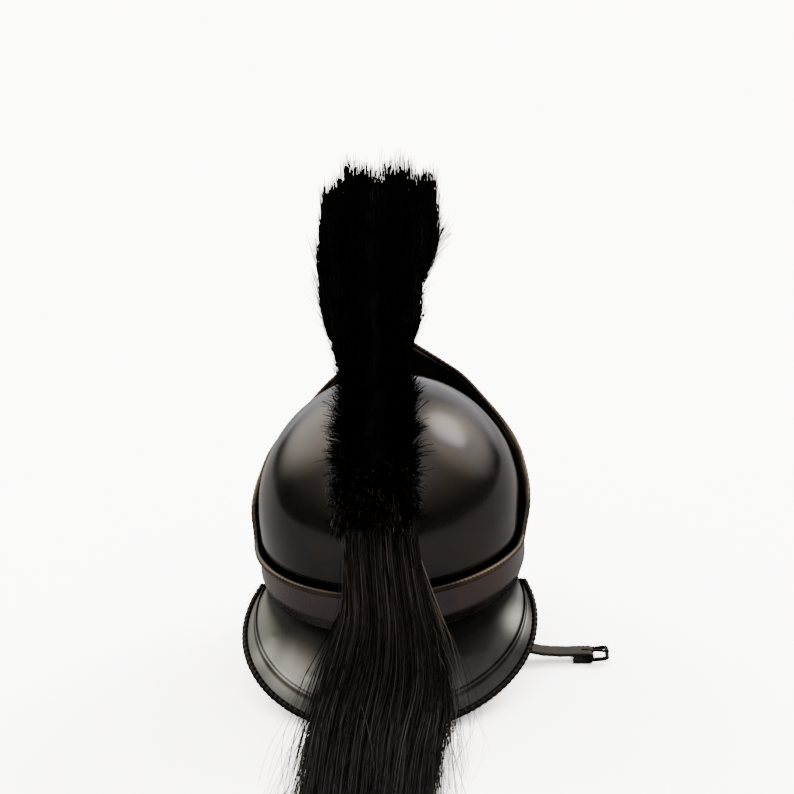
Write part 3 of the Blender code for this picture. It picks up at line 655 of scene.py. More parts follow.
wall = make_wall()
cut([wall, dome], make_face_cutter())
cut([wall], make_floor_cutter())
print("wall cut:", len(wall.data.polygons), "faces")

# %% [markdown]
# Both rims are rolled over a wire and filed to look like a rope. A roped rod is a grid rolled into a
# tube along a line, whose radius swells and pinches along slanted lines: the pinches are the
# gaps between the strands. Real relief matters here, because the outer edge shows its notches
# against the white floor.

# %% A roped rod along a line
def make_rod(name, centre, length, radius, closed, material, nodes, sides=20, rope=None):
    """centre(u) gives the line, u from 0 to 1. rope is the strands' pitch, their slant and their depth."""
    columns = max(8, round(length / (rope[0] / 5 if rope else 3 * radius)))
    lines = [centre(i / columns) for i in range(columns + 1)]

    def frame_at(i):
        before, after = lines[max(i - 1, 0)], lines[min(i + 1, columns)]
        if closed and i in (0, columns):
            before, after = lines[columns - 1], lines[1]
        along = (after - before).normalized()
        outward = along.cross(Vector((0, 0, 1))).normalized()
        return outward, outward.cross(along)

    frames = [frame_at(i) for i in range(columns + 1)]

    def place(u, v):
        i, turn = round(u * columns), math.tau * v
        outward, upward = frames[i]
        size = radius
        if rope:
            pitch, slant, depth = rope
            wave = math.cos(math.tau * round(length / pitch) * i / columns + slant * turn)
            size *= 1 - depth * (0.5 - 0.5 * wave) ** 3
        return lines[i] + (outward * math.cos(turn) + upward * math.sin(turn)) * size

    bm = laid_grid(columns, sides, place, closed=True)
    ends = [edge for edge in bm.edges if edge.is_boundary]
    if ends:
        bmesh.ops.holes_fill(bm, edges=ends, sides=sides)
    bmesh.ops.recalc_face_normals(bm, faces=bm.faces)
    return finish_piece(name, bm, material, nodes)


def brow_roll_centre(u):
    """Centre of the rolled rim: it lies on the wall's top edge and stands proud outside."""
    angle, step = 360 * u, 4.0
    edge = wall_point(angle, top_height(angle))
    along = wall_point(angle + step, top_height(angle + step))
    along = (along - wall_point(angle - step, top_height(angle - step))).normalized()
    outward = along.cross(Vector((0, 0, 1))).normalized()
    upward = outward.cross(along)
    seat = math.sqrt(ROLL_RADIUS**2 - (ROLL_RADIUS - SHEET) ** 2)
    return edge + outward * ROLL_RADIUS + upward * (seat + GAP)


make_rod(
    "brow_rim", brow_roll_centre, 0.80, ROLL_RADIUS, True, STEEL["rolled brow steel"],
    ["brow_roll"], sides=18, rope=(0.0042, 1, 0.10),
)

# %% [markdown]
# The neck guard flares out from inside the band and is lowest at the back. Its edge is an ellipse
# that lies on a sloping plane. From the collar to that edge the sheet follows a curve with one middle
# point, and a raised bead runs beside the edge. A few small knocks keep it from looking new.

# %% The neck guard
COLLAR_HEIGHT = 0.009
COLLAR_PLAY = 0.0007
GUARD_CENTRE = 0.058
GUARD_SIDE_REACH = 0.0085
GUARD_HALF_WIDTH = DOME_HALF_WIDTH + GUARD_SIDE_REACH
GUARD_HALF_LENGTH = 0.0995
GUARD_SIDE_RISE = 0.004
GUARD_SIDE_HEIGHT = BAND_BOTTOM + GUARD_SIDE_RISE
GUARD_END_ANGLE = 112.0
COLLAR_END_ANGLE = 82.0
FLARE_OUT = 0.10
FLARE_DOWN = 0.60
BEAD_PLACE, BEAD_WIDTH, BEAD_RISE = 0.82, 0.030, 0.0016
KNOCKS = (
    # u along the guard, share of the way out, radius, depth
    (0.33, 0.62, 0.0035, 0.0009), (0.36, 0.70, 0.0022, 0.0005), (-0.42, 0.50, 0.0045, 0.0007),
    (-0.50, 0.58, 0.0025, 0.0005), (0.62, 0.55, 0.0030, 0.0004), (-0.22, 0.66, 0.0030, 0.0005),
)


def guard_edge(u):
    """Centre of the guard's rolled edge, u from -1 at one side to 1 at the other."""
    turn = math.radians(GUARD_END_ANGLE * u)
    back = GUARD_CENTRE + GUARD_HALF_LENGTH
    y = GUARD_CENTRE + GUARD_HALF_LENGTH * math.cos(turn)
    height = GUARD_SIDE_HEIGHT + (ROLL_RADIUS - GUARD_SIDE_HEIGHT) * y / back
    return MIDDLE + Vector((GUARD_HALF_WIDTH * math.sin(turn), y, height))


def guard_point(u, share, lift):
    """A point on the guard's upper face, from its collar, share 0, to its rolled edge, share 1."""
    start = wall_point(180 - COLLAR_END_ANGLE * u, BAND_BOTTOM - GAP, -COLLAR_PLAY)
    centre = guard_edge(u)
    middle = start + (centre - start) * FLARE_OUT
    middle.z = start.z + (centre.z - start.z) * FLARE_DOWN
    along = (guard_edge(u + 0.01) - guard_edge(u - 0.01)).normalized()
    outward = centre - middle
    outward = (outward - along * outward.dot(along)).normalized()
    upward = along.cross(outward)
    upward *= 1 if upward.z > 0 else -1
    end = centre - outward * (ROLL_RADIUS - 2 * GAP) + upward * SHEET / 2
    point = start * (1 - share) ** 2 + middle * 2 * share * (1 - share) + end * share**2
    return point + upward * lift


def make_guard():
    knocks = [(guard_point(u, share, 0), radius, depth) for u, share, radius, depth in KNOCKS]
    collar = 0.07

    def place(u, v):
        if v < collar:
            rise = COLLAR_HEIGHT * (1 - v / collar)
            return wall_point(180 - COLLAR_END_ANGLE * (2 * u - 1), BAND_BOTTOM + rise, -COLLAR_PLAY)
        share = (v - collar) / (1 - collar)
        bead = BEAD_RISE * math.exp(-((share - BEAD_PLACE) / BEAD_WIDTH) ** 2)
        point = guard_point(2 * u - 1, share, bead)
        for knock, radius, depth in knocks:
            away = (point - knock).length / radius
            if away < 2.5:
                point.z -= depth * math.exp(-away**2)
        return point

    bm = laid_grid(150, 72, place)
    bmesh.ops.recalc_face_normals(bm, faces=bm.faces)
    bm.faces.ensure_lookup_table()
    if max(bm.faces, key=lambda face: face.calc_center_median().y).normal.z < 0:
        bmesh.ops.reverse_faces(bm, faces=bm.faces)
    guard = finish_piece("guard", bm, STEEL["satin guard steel"], ["neck_guard"])
    give_thickness(guard, SHEET, -1)


make_guard()
make_rod(
    "guard_rim", lambda u: guard_edge(2 * u - 1), 0.42, ROLL_RADIUS, False, STEEL["roped rim steel"],
    ["guard_roll"], sides=20, rope=(0.0050, 1, 0.22),
)

# %% [markdown]
# The crest's holder and the two strap pins keep their measured shapes, because they are plain and
# almost hidden. They only need their steel.

# %% Finishes for the plain solids
def paint_node(node, material):
    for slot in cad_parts[node].material_slots:
        slot.material = material


paint_node("crest_holder", STEEL["plain holder steel"])
for pin in ("strap_pin_left", "strap_pin_right"):
    paint_node(pin, STEEL["black buckle iron"])
print("plain solids painted")

# %% [markdown]
# The chin strap is a plain oiled leather strip, gone olive-brown, with a darker cut edge and worn
# grain. Its colour changes slowly along it, and the grain is a fine bump. The edge is found by the
# strip's own UV map, whose second value runs across the strap.

# %% Strap leather
def make_leather():
    material, tree, shader = new_material("olive strap leather")
    coords = add_node(tree, "TexCoord").outputs["Object"]
    patches = link_range(tree, link_noise(tree, coords, 90, 4, 0.6), 0.35, 0.68)
    tint = link_mix(tree, patches, (0.032, 0.026, 0.015), (0.085, 0.068, 0.042))
    off = link_math(tree, "ABSOLUTE", link_math(tree, "SUBTRACT", strip_across(tree), 0.5), 0)
    edge = link_range(tree, off, 0.40, 0.49)
    set_inputs(tree, shader, {
        "Base Color": link_mix(tree, edge, tint, (0.012, 0.010, 0.008)),
        "Roughness": link_range(tree, patches, 0, 1, 0.62, 0.80),
        "Normal": link_bump(tree, link_noise(tree, coords, 1400, 4, 0.6), 0.5, 0.0006),
    })
    return material


LEATHER = make_leather()
print("leather made")

# %% [markdown]
# Each half of the chin strap hangs from its pin, down inside the wall and out under the guard's end.
# The buckle's half then lies out to the side, with its end folded round the buckle's bar, as in the
# photograph. The other half lies inwards, flat. Both are lines of points, so that their real length
# can be measured. They are the CAD model's own lines.

# %% The strap's route
STRAP_WIDTH = 0.015
STRAP_THICKNESS = 0.0022
STRAP_PLACE = 0.042
PIN_PLACE = 0.028
PIN_DROP = 0.0075
PIN_HEIGHT = RIM_HEIGHT - SKIRT_BELOW_RIM - PIN_DROP
PIN_HEAD_RADIUS = 0.0042
STRAP_OVER_PIN = 0.007
STRAP_SWEEP = 0.035
STRAP_FOLD = 0.012
BUCKLE_DISTANCE = 0.1530
BUCKLE_WIRE_RADIUS = 0.0016
BUCKLE_HALF_WIDTH = 0.0101
BUCKLE_LENGTH = 0.0145
BUCKLE_LIFT = 0.0012
BUCKLE_CORNER = 0.0025
PRONG_RADIUS = 0.0011
PRONG_SWAY = 0.006
STRAP_END_PLACE = -0.045
STRAP_RAG = 0.00045
TONGUE_BEND = (
    # shares of the sweep inwards, of the way back and of the band's height; the last lies low
    (0.03, 0.4, 0.60), (0.20, 0.7, 0.28), (0.51, 0.9, 0.0),
)
BUCKLE_BEND = (
    # shares of the way out to the buckle, of the way back and of the band's height over the bar
    (0.0, 0.3, 0.58), (0.05, 0.6, 0.28), (0.17, 0.9, 0.10), (0.36, 1, 0.03), (0.60, 1, 0), (0.86, 1, 0),
)


def strap_depth(height):
    """How far from the middle the strap hangs: its back edge just clears the guard's collar."""
    back_edge = PIN_PLACE + STRAP_WIDTH / 2
    share = wall_share(height)
    angle = math.degrees(math.acos(-back_edge / ((DOME_HALF_LENGTH + GAP) * share)))
    return wall_point(angle, height).x - SHEET - 3 * GAP - STRAP_THICKNESS / 2


def buckle_bar():
    """Centre of the buckle's bar, which the strap's end folds round."""
    return MIDDLE + Vector((-BUCKLE_DISTANCE, STRAP_PLACE, BUCKLE_WIRE_RADIUS + 2 * GAP + STRAP_THICKNESS))


def strap_route(side):
    """Centre points of one half of the chin strap: side is 1 for the tongue's, -1 for the buckle's."""
    drop, flat = strap_depth(0.9 * BAND_BOTTOM), strap_depth(PIN_HEIGHT)
    shift = STRAP_PLACE - PIN_PLACE
    points = [
        (flat, PIN_PLACE, PIN_HEIGHT + STRAP_OVER_PIN), (flat, PIN_PLACE, PIN_HEIGHT),
        (flat, PIN_PLACE, PIN_HEIGHT - 1.5 * PIN_HEAD_RADIUS),
        (drop, PIN_PLACE + 0.1 * shift, 0.95 * BAND_BOTTOM),
    ]
    if side > 0:
        low = STRAP_THICKNESS / 2 + 2 * GAP
        for swept, back, height in TONGUE_BEND:
            height = max(height * BAND_BOTTOM, low + 0.07 * BAND_BOTTOM)
            points.append((drop - swept * STRAP_SWEEP, PIN_PLACE + back * shift, height))
        start, end = drop - STRAP_SWEEP, STRAP_END_PLACE
        points += [(start + (end - start) * i / 5, STRAP_PLACE, low) for i in range(6)]
        return [MIDDLE + Vector(point) for point in points]
    bar = buckle_bar().z
    loop = BUCKLE_WIRE_RADIUS + GAP + STRAP_THICKNESS / 2
    way, rise = BUCKLE_DISTANCE - drop, BAND_BOTTOM - bar - loop
    for out, back, up in BUCKLE_BEND:
        points.append((drop + out * way, PIN_PLACE + back * shift, bar + loop + up * rise))
    for turn in (0, 45, 90, 135, 180):
        out, up = loop * math.sin(math.radians(turn)), loop * math.cos(math.radians(turn))
        points.append((BUCKLE_DISTANCE + out, STRAP_PLACE, bar + up))
    points += [(BUCKLE_DISTANCE - STRAP_FOLD * i / 2, STRAP_PLACE, bar - loop) for i in (1, 2)]
    return [MIDDLE + Vector((-x, y, z)) for x, y, z in points]


print("tongue half starts at", [round(c, 3) for c in strap_route(1)[0]])

# %% [markdown]
# A strap is a strip of leather that lies along its route. A grid is laid along the route, its sides
# are pulled in at the tongue's point, and Solidify gives it thickness. The holes are cut through
# with small rods. Both halves hang free, and their lengths are printed.

# %% The straps
HOLE_RADIUS = 0.0021
HOLE_SPACING = 0.014
HOLE_COUNT = 5


def path_length(points):
    return sum((b - a).length for a, b in zip(points[:-1], points[1:]))


def make_strap(name, side, node):
    route = strap_route(side)
    count = 6 * (len(route) - 1)
    points = [smooth_path(route, i / count) for i in range(count + 1)]
    chance = random.Random(11)
    rag = [chance.uniform(-1, 1) * STRAP_RAG for _ in range(2 * count + 2)]

    def place(u, v):
        number = round(u * count)
        left = (points[-1] - points[number]).length if side > 0 else STRAP_WIDTH
        half = STRAP_WIDTH / 2 * min(1, 0.25 + 0.75 * left / (0.8 * STRAP_WIDTH))
        across = 2 * v - 1
        edge = rag[2 * number + (across > 0)] if abs(across) > 0.99 else 0
        return points[number] + Vector((0, half * across + edge, 0))

    bm = laid_grid(count, 8, place)
    bmesh.ops.recalc_face_normals(bm, faces=bm.faces)
    strap = finish_piece(name, bm, LEATHER, [node])
    give_thickness(strap, STRAP_THICKNESS, 0)
    return strap, points


def make_hole_cutter():
    bm = bmesh.new()
    for number in range(HOLE_COUNT):
        made = bmesh.ops.create_cone(
            bm, cap_ends=True, segments=20, radius1=HOLE_RADIUS, radius2=HOLE_RADIUS,
            depth=4 * STRAP_THICKNESS,
        )
        along = STRAP_END_PLACE + 1.4 * STRAP_WIDTH + HOLE_SPACING * number
        bmesh.ops.translate(bm, vec=MIDDLE + Vector((along, STRAP_PLACE, 0)), verts=made["verts"])
    return make_cutter("hole_cutter", bm)


def make_slot_cutter():
    """The slot in the strap's fold that the prong's hook comes through."""
    reach = BUCKLE_WIRE_RADIUS + STRAP_THICKNESS + 5 * GAP
    bm = bmesh.new()
    bmesh.ops.create_cube(bm, size=2)
    bmesh.ops.scale(bm, vec=(reach, PRONG_RADIUS + GAP, 2 * reach), verts=bm.verts)
    bmesh.ops.translate(bm, vec=buckle_bar(), verts=bm.verts)
    return make_cutter("slot_cutter", bm)


tongue_half, tongue_path = make_strap("strap_tongue_half", 1, "strap_left")
cut([tongue_half], make_hole_cutter())
buckle_half, buckle_path = make_strap("strap_buckle_half", -1, "strap_right")
cut([buckle_half], make_slot_cutter())
print("strap halves are", [round(path_length(path), 3) for path in (tongue_path, buckle_path)], "m long")

# %% [markdown]
# The buckle is bent from one round wire with soft corners, and its prong is a thinner wire hooked
# round the bar. Both are rods like the rims, without the rope.

# %% The buckle
def buckle_height(x):
    bar = buckle_bar()
    return bar.z + (bar.x - x) * BUCKLE_LIFT / BUCKLE_LENGTH


def buckle_outline():
    bar, half, corner = buckle_bar(), BUCKLE_HALF_WIDTH, BUCKLE_CORNER
    far = bar.x - BUCKLE_LENGTH
    outline = []
    for x, side, start in ((bar.x, 1, 0), (far, 1, 90), (far, -1, 180), (bar.x, -1, 270)):
        inward = -corner if x == bar.x else corner
        for step in range(7):
            turn = math.radians(start + 15 * step)
            across = x + inward + corner * math.cos(turn)
            sideways = bar.y + side * (half - corner) + corner * math.sin(turn)
            outline.append(Vector((across, sideways, buckle_height(across))))
    return outline


def prong_line():
    bar = buckle_bar()
    rest = BUCKLE_WIRE_RADIUS + PRONG_RADIUS + GAP
    line = []
    for turn in (200, 160, 120, 80, 50):
        across, up = rest * math.cos(math.radians(turn)), rest * math.sin(math.radians(turn))
        line.append(bar + Vector((-across, 0, up)))
    for share in (0.35, 0.65, 1 + 0.8 * BUCKLE_WIRE_RADIUS / BUCKLE_LENGTH):
        x = bar.x - share * BUCKLE_LENGTH
        line.append(Vector((x, bar.y + (share - 0.35) * PRONG_SWAY, buckle_height(x) + rest * 1.05)))
    return line


def loop_point(points, u):
    """A point on a closed line of points, u from 0 to 1."""
    place = u * len(points)
    i = int(place) % len(points)
    return points[i].lerp(points[(i + 1) % len(points)], place - int(place))


outline = buckle_outline()
frame_piece = make_rod(
    "buckle_ring", lambda u: loop_point(outline, u), path_length(outline), BUCKLE_WIRE_RADIUS, True,
    STEEL["black buckle iron"], ["buckle_frame"], sides=16,
)
prong = prong_line()
prong_piece = make_rod(
    "buckle_tongue", lambda u: smooth_path(prong, u), path_length(prong), PRONG_RADIUS, False,
    STEEL["black buckle iron"], ["buckle_prong"], sides=14,
)
tuple(buckle_path[0])
path_length(buckle_path)
[tuple(p) for p in buckle_path]
tuple(tongue_path[0])
path_length(tongue_path)
[tuple(p) for p in tongue_path]

# %% [markdown]
# Horsehair is thousands of stiff, straight, glossy hairs. Here a hair is a narrow flat strip that
# tapers to its tip. Placing each strip as an object would be slow, so one bmesh holds a whole comb
# of short edges, and one extrude at a time draws all of them out by a step. Each point keeps the
# number of its hair, its side and its step, so that one formula can lay every hair afterwards.

# %% A comb of hairs
def draw_comb(count, steps):
    """Strips for so many hairs; returns the mesh and, for each point, its hair, side and step."""
    bm = bmesh.new()
    keys = [bm.verts.layers.int.new(key) for key in ("hair", "side", "step")]
    edges = []
    for number in range(count):
        pair = [bm.verts.new((0, 0, 0)), bm.verts.new((1, 0, 0))]
        for side, vert in enumerate(pair):
            vert[keys[0]], vert[keys[1]] = number, side
        edges.append(bm.edges.new(pair))
    for step in range(1, steps + 1):
        drawn = bmesh.ops.extrude_edge_only(bm, edges=edges)["geom"]
        for item in drawn:
            if isinstance(item, bmesh.types.BMVert):
                item[keys[2]] = step
        edges = [item for item in drawn if isinstance(item, bmesh.types.BMEdge)]
    mesh = take_mesh("hair", bm)
    read = []
    for key in ("hair", "side", "step"):
        values = np.empty(len(mesh.vertices), dtype=np.int32)
        mesh.attributes[key].data.foreach_get("value", values)
        read.append(values)
        mesh.attributes.remove(mesh.attributes[key])
    return mesh, read


def unit(vectors):
    return vectors / np.maximum(np.linalg.norm(vectors, axis=-1, keepdims=True), 1e-9)


TIP_NARROWING = 0.55
HAIR_ABOVE_FLOOR = 0.0003


def lay_hairs(name, lines, width, tone, chance, material, nodes=(), painted_tip_shade=0.0):
    """Makes one piece of hairs from an array of hairs, steps and coordinates; the last argument darkens the
    tone towards the tips, a painted shade.
    """
    count, steps = lines.shape[0], lines.shape[1] - 1
    mesh, (hair, side, step) = draw_comb(count, steps)
    along = unit(np.gradient(lines, axis=1))
    face = unit(np.cross(along, unit(chance.normal(size=(count, 1, 3)))))
    taper = 1 - TIP_NARROWING * (np.arange(steps + 1) / steps) ** 2
    half = 0.5 * width[:, None] * taper[None, :]
    places = lines[hair, step] + face[hair, step] * (half[hair, step] * (2 * side - 1))[:, None]
    places[:, 2] = np.maximum(places[:, 2], HAIR_ABOVE_FLOOR)
    mesh.vertices.foreach_set("co", places.astype(np.float32).ravel())
    shade = mesh.attributes.new("tone", "FLOAT", "POINT")
    # Painted shade: each hair's tone darkens towards its tip, so hair low on the floor is darker and the
    # upper hair lighter, as if lit from above.
    shade.data.foreach_set("value", (tone[hair] * (1 - painted_tip_shade * step / steps)).astype(np.float32))
    mesh.update()
    print(name, "has", count, "hairs")
    return dress(name, mesh, material, nodes)


print("the comb is ready")


# %% [markdown]
# Black horsehair is only black in the mass. Against the light single hairs are brown or grey, and
# they catch a long soft highlight. The tone that each hair was given goes to a small ramp from
# black to brown-grey.

# %% Hair materials
def make_hair(name, dark, light, rough, gloss):
    material, tree, shader = new_material(name)
    tone = add_node(tree, "Attribute", attribute_name="tone").outputs["Fac"]
    set_inputs(tree, shader, {
        "Base Color": link_mix(tree, tone, dark, light), "Roughness": rough, "Specular IOR Level": gloss,
    })
    return material


CREST_TONES = ((0.0012, 0.001, 0.001), (0.012, 0.009, 0.008))  # dark, light
TAIL_TONES = ((0.004, 0.0034, 0.003), (0.42, 0.355, 0.305))
CREST_HAIR_LOOK = make_hair("crest horsehair look", *CREST_TONES, rough=0.6, gloss=0.06)
TAIL_HAIR_LOOK = make_hair("tail horsehair look", *TAIL_TONES, rough=0.46, gloss=0.14)
print("hair looks made")

# %% [markdown]
# The brush stands on the holder along the crown, from above the brow to low on the back. Its hair
# is longest over the brow and shorter and more swept back behind, and it spreads sideways as it
# rises. The same tables as the solid's say how long, how slanted and how wide it is at each place.
# The photograph shows that the loose hair behind swings a little to one side, by up to a centimetre.

# %% The crest's tables
HOLDER_HEIGHT = 0.009
HOLDER_FRONT_ANGLE = -50.0
HOLDER_BACK_ANGLE = 70.0
CREST_HAIR = 0.160
CREST_HALF_WIDTH = 0.039
CREST_DRIFT = 0.009
CREST_SWING = -0.010
SWING_START, SWING_GROWTH = 0.42, 0.28
CREST_ROUND = 0.11
CREST_SECTIONS = (
    # share of the way back along the holder, then length, slant in degrees, width, drift sideways
    (0.00, 0.76, -8, 0.80, 1.0), (0.12, 0.93, -4, 0.95, 1.0), (0.28, 1.00, 1, 1.00, 1.0),
    (0.42, 0.90, 8, 0.88, 0.9), (0.55, 0.66, 20, 0.70, 0.4), (0.70, 0.45, 40, 0.62, -0.2),
    (0.86, 0.37, 62, 0.74, -0.5), (1.00, 0.33, 78, 0.66, -0.6),
)
CREST_SPREAD = (
    # share of the way up the hair, then width, drift sideways
    (0.00, 0.27, 0.0), (0.12, 0.64, 0.7), (0.30, 0.88, 1.2), (0.45, 0.86, 1.3), (0.55, 0.90, 1.0),
    (0.70, 1.02, 0.4), (0.80, 1.10, -0.2), (1.20, 1.12, -0.4),
)


def many(table, column):
    """Reads a table for a whole array of places at once, from 200 readings of it."""
    places = np.linspace(table[0][0], table[-1][0], 200)
    values = np.array([smooth_value(table, place, column) for place in places])
    return lambda at: np.interp(at, places, values)


crest_length, crest_lean, crest_width, crest_sideways = (many(CREST_SECTIONS, c) for c in (1, 2, 3, 4))
spread_width, spread_drift = many(CREST_SPREAD, 1), many(CREST_SPREAD, 2)


def crest_places(u, v, w):
    """Points in the crest: u from front to back, v from -1 to 1 across, w along the hair."""
    turn = np.radians(HOLDER_FRONT_ANGLE + (HOLDER_BACK_ANGLE - HOLDER_FRONT_ANGLE) * u)
    normal_y, normal_z = np.sin(turn) / DOME_HALF_LENGTH, np.cos(turn) / DOME_RISE
    size = np.hypot(normal_y, normal_z)
    lift = (2 * GAP + HOLDER_HEIGHT) / size
    y = MIDDLE.y + DOME_HALF_LENGTH * np.sin(turn) + normal_y * lift
    z = EQUATOR_HEIGHT + DOME_RISE * np.cos(turn) + normal_z * lift
    lean = np.radians(crest_lean(u))
    half = CREST_HALF_WIDTH * crest_width(u) * spread_width(w)
    drift = CREST_DRIFT * crest_sideways(u) * spread_drift(w)
    drift = drift + CREST_SWING * np.clip((u - SWING_START) / SWING_GROWTH, 0, 1) * w
    length = CREST_HAIR * crest_length(u) * (1 - CREST_ROUND * v**2 * w) * w
    return np.stack([half * v + drift, y + np.sin(lean) * length, z + np.cos(lean) * length], axis=-1)


print("crest tip near", crest_places(np.array([0.3]), np.array([0.0]), np.array([1.0])).round(3))

# %% [markdown]
# Horsehair stands in tufts. Each hair starts at a random place on the holder and is pulled towards
# the tuft nearest to it, more and more on its way up. The last lot of short hairs splays out of the
# brush's sides, and a few browner ones hang at its back end, over the top of the tail.

# %% The crest's hair
CREST_STEPS = 6
CREST_DROOP = 0.010
STRAY, WAVE = 0.0022, 0.0008
CREST_HAIR_WIDTHS = (0.0005, 0.0009)
CREST_GROUPS = (
    # hairs, part of the holder, least and greatest length, tufts, splay, least side, pull, nodes
    (13000, (0, 1), (0.95, 1.03), 240, 0.03, 0, (0.2, 0.8), ["crest_brush"]),
    (7000, (0, 1), (0.65, 1.0), 240, 0.10, 0, (0.2, 0.8), []),
    (5000, (0.05, 1), (0.22, 0.90), 240, 0.40, 0, (0.2, 0.8), []),
    (7500, (0.08, 0.80), (0.26, 0.88), 130, 0.46, 0.78, (0.6, 0.95), []),
)
CREST_END_GROUP = (1100, (0.86, 1.0), (0.80, 1.12), 60, 0.2, 0, (0.1, 0.6))


def crest_hairs(count, chance, span, full, tufts, splay, side, pulled):
    """Lines of crest hairs. span is the part of the holder, full and pulled are least and greatest."""
    u = chance.uniform(*span, count)
    v = chance.uniform(-1, 1, count)
    v = np.sign(v) * (side + (1 - side) * np.abs(v) ** 0.7)
    tuft_u, tuft_v = chance.uniform(-0.02, 1.02, tufts), chance.uniform(-1.05, 1.05, tufts)
    tuft_v = np.sign(tuft_v) * (side + (1 - side) * np.abs(tuft_v))
    tuft_reach, tuft_splay = chance.uniform(0.93, 1.05, tufts), chance.uniform(0.1, 1, tufts)
    away = 9 * (u[:, None] - tuft_u[None, :]) ** 2 + (v[:, None] - tuft_v[None, :]) ** 2
    home = np.argmin(away, axis=1)
    pull = chance.uniform(*pulled, count)
    reach = chance.uniform(*full, count) * tuft_reach[home]
    share = np.linspace(0, 1, CREST_STEPS + 1)[None, :]
    w = share * reach[:, None]
    toward = np.clip(w, 0, 1) ** 2 * pull[:, None]
    us = u[:, None] + (tuft_u[home] - u)[:, None] * toward
    vs = v[:, None] + (tuft_v[home] - v)[:, None] * toward
    vs = vs + (v * chance.uniform(0.3, 1, count) * splay * tuft_splay[home])[:, None] * share**2
    lines = crest_places(us, vs, w)
    behind = np.clip((u - 0.55) / 0.45, 0, 1) ** 2
    lines[:, :, 2] -= CREST_DROOP * behind[:, None] * w**2
    stray = chance.normal(size=(count, 1, 3)) * STRAY
    wave = chance.normal(size=(count, 1, 3)) * WAVE
    phase = chance.uniform(0, math.tau, (count, 1, 1))
    return lines + stray * w[:, :, None] ** 1.5 + wave * np.sin(5 * w[:, :, None] + phase) * w[:, :, None]


def draw_looks(count, chance, widths, tones, share):
    return chance.uniform(*widths, count) / math.sqrt(share), chance.beta(*tones, count)


def make_crest():
    share = 1.0
    chance = np.random.default_rng(21)
    for number, (count, *how, nodes) in enumerate(CREST_GROUPS):
        lines = crest_hairs(int(count * share), chance, *how)
        width, tone = draw_looks(len(lines), chance, CREST_HAIR_WIDTHS, (1.2, 6.0), share)
        name = f"crest_hair_{number}"
        lay_hairs(name, lines, width, tone, chance, CREST_HAIR_LOOK, nodes)
    count, *how = CREST_END_GROUP
    lines = crest_hairs(int(count * share), chance, *how)
    width, tone = draw_looks(len(lines), chance, CREST_HAIR_WIDTHS, (1.0, 3.0), share)
    # The tips of these hairs are painted half darker: painted shade.
    lay_hairs("crest_end_hair", lines, width, tone, chance, TAIL_HAIR_LOOK, (), 0.5)


make_crest()

# %% [markdown]
# Between the hairs of a thick brush no light comes through. Strips alone would let some through, so a
# plain dark body fills the middle of the brush, a good deal smaller than the hair all round.

# %% The crest's dense middle
def make_core(name, columns, rows, place, material):
    bm = laid_grid(columns, rows, place, closed=True)
    ends = [edge for edge in bm.edges if edge.is_boundary]
    bmesh.ops.holes_fill(bm, edges=ends, sides=0)
    bmesh.ops.recalc_face_normals(bm, faces=bm.faces)
    core = finish_piece(name, bm, material)
    shade = core.data.attributes.new("tone", "FLOAT", "POINT")
    shade.data.foreach_set("value", np.zeros(len(core.data.vertices), dtype=np.float32))
    return core


def crest_core(u, v):
    ring = math.tau * v
    across, along = 0.66 * math.cos(ring), 0.44 + 0.42 * math.sin(ring)
    along += 0.06 * noise.noise(Vector((40 * u, 4 * across, 0))) * max(0, math.sin(ring))
    place = crest_places(np.array([0.05 + 0.87 * u]), np.array([across]), np.array([along]))[0]
    return Vector(place)


make_core("crest_core", 60, 24, crest_core, CREST_HAIR_LOOK)

# %% [markdown]
# The tail is tied to the back end of the holder. It falls over the rim, the band and the guard, and
# its last part lies on the floor. Its middle line, half width and half thickness come from a table
# of rows. Its bend onto the floor is then eased, because hair of this thickness can't turn sharply.

# %% The tail's route
TAIL_HALF_WIDTH = 0.045
TAIL_HALF_THICKNESS = 0.012
TAIL_DRIFT = -0.011
TAIL_REACH = 0.310
LOCK_DEPTH = 0.14
EASING_PASSES = 420


def crown_point(angle, lift):
    turn = math.radians(angle)
    on_dome = Vector((0, DOME_HALF_LENGTH * math.sin(turn), EQUATOR_HEIGHT + DOME_RISE * math.cos(turn)))
    normal = Vector((0, math.sin(turn) / DOME_HALF_LENGTH, math.cos(turn) / DOME_RISE)).normalized()
    return on_dome + normal * lift


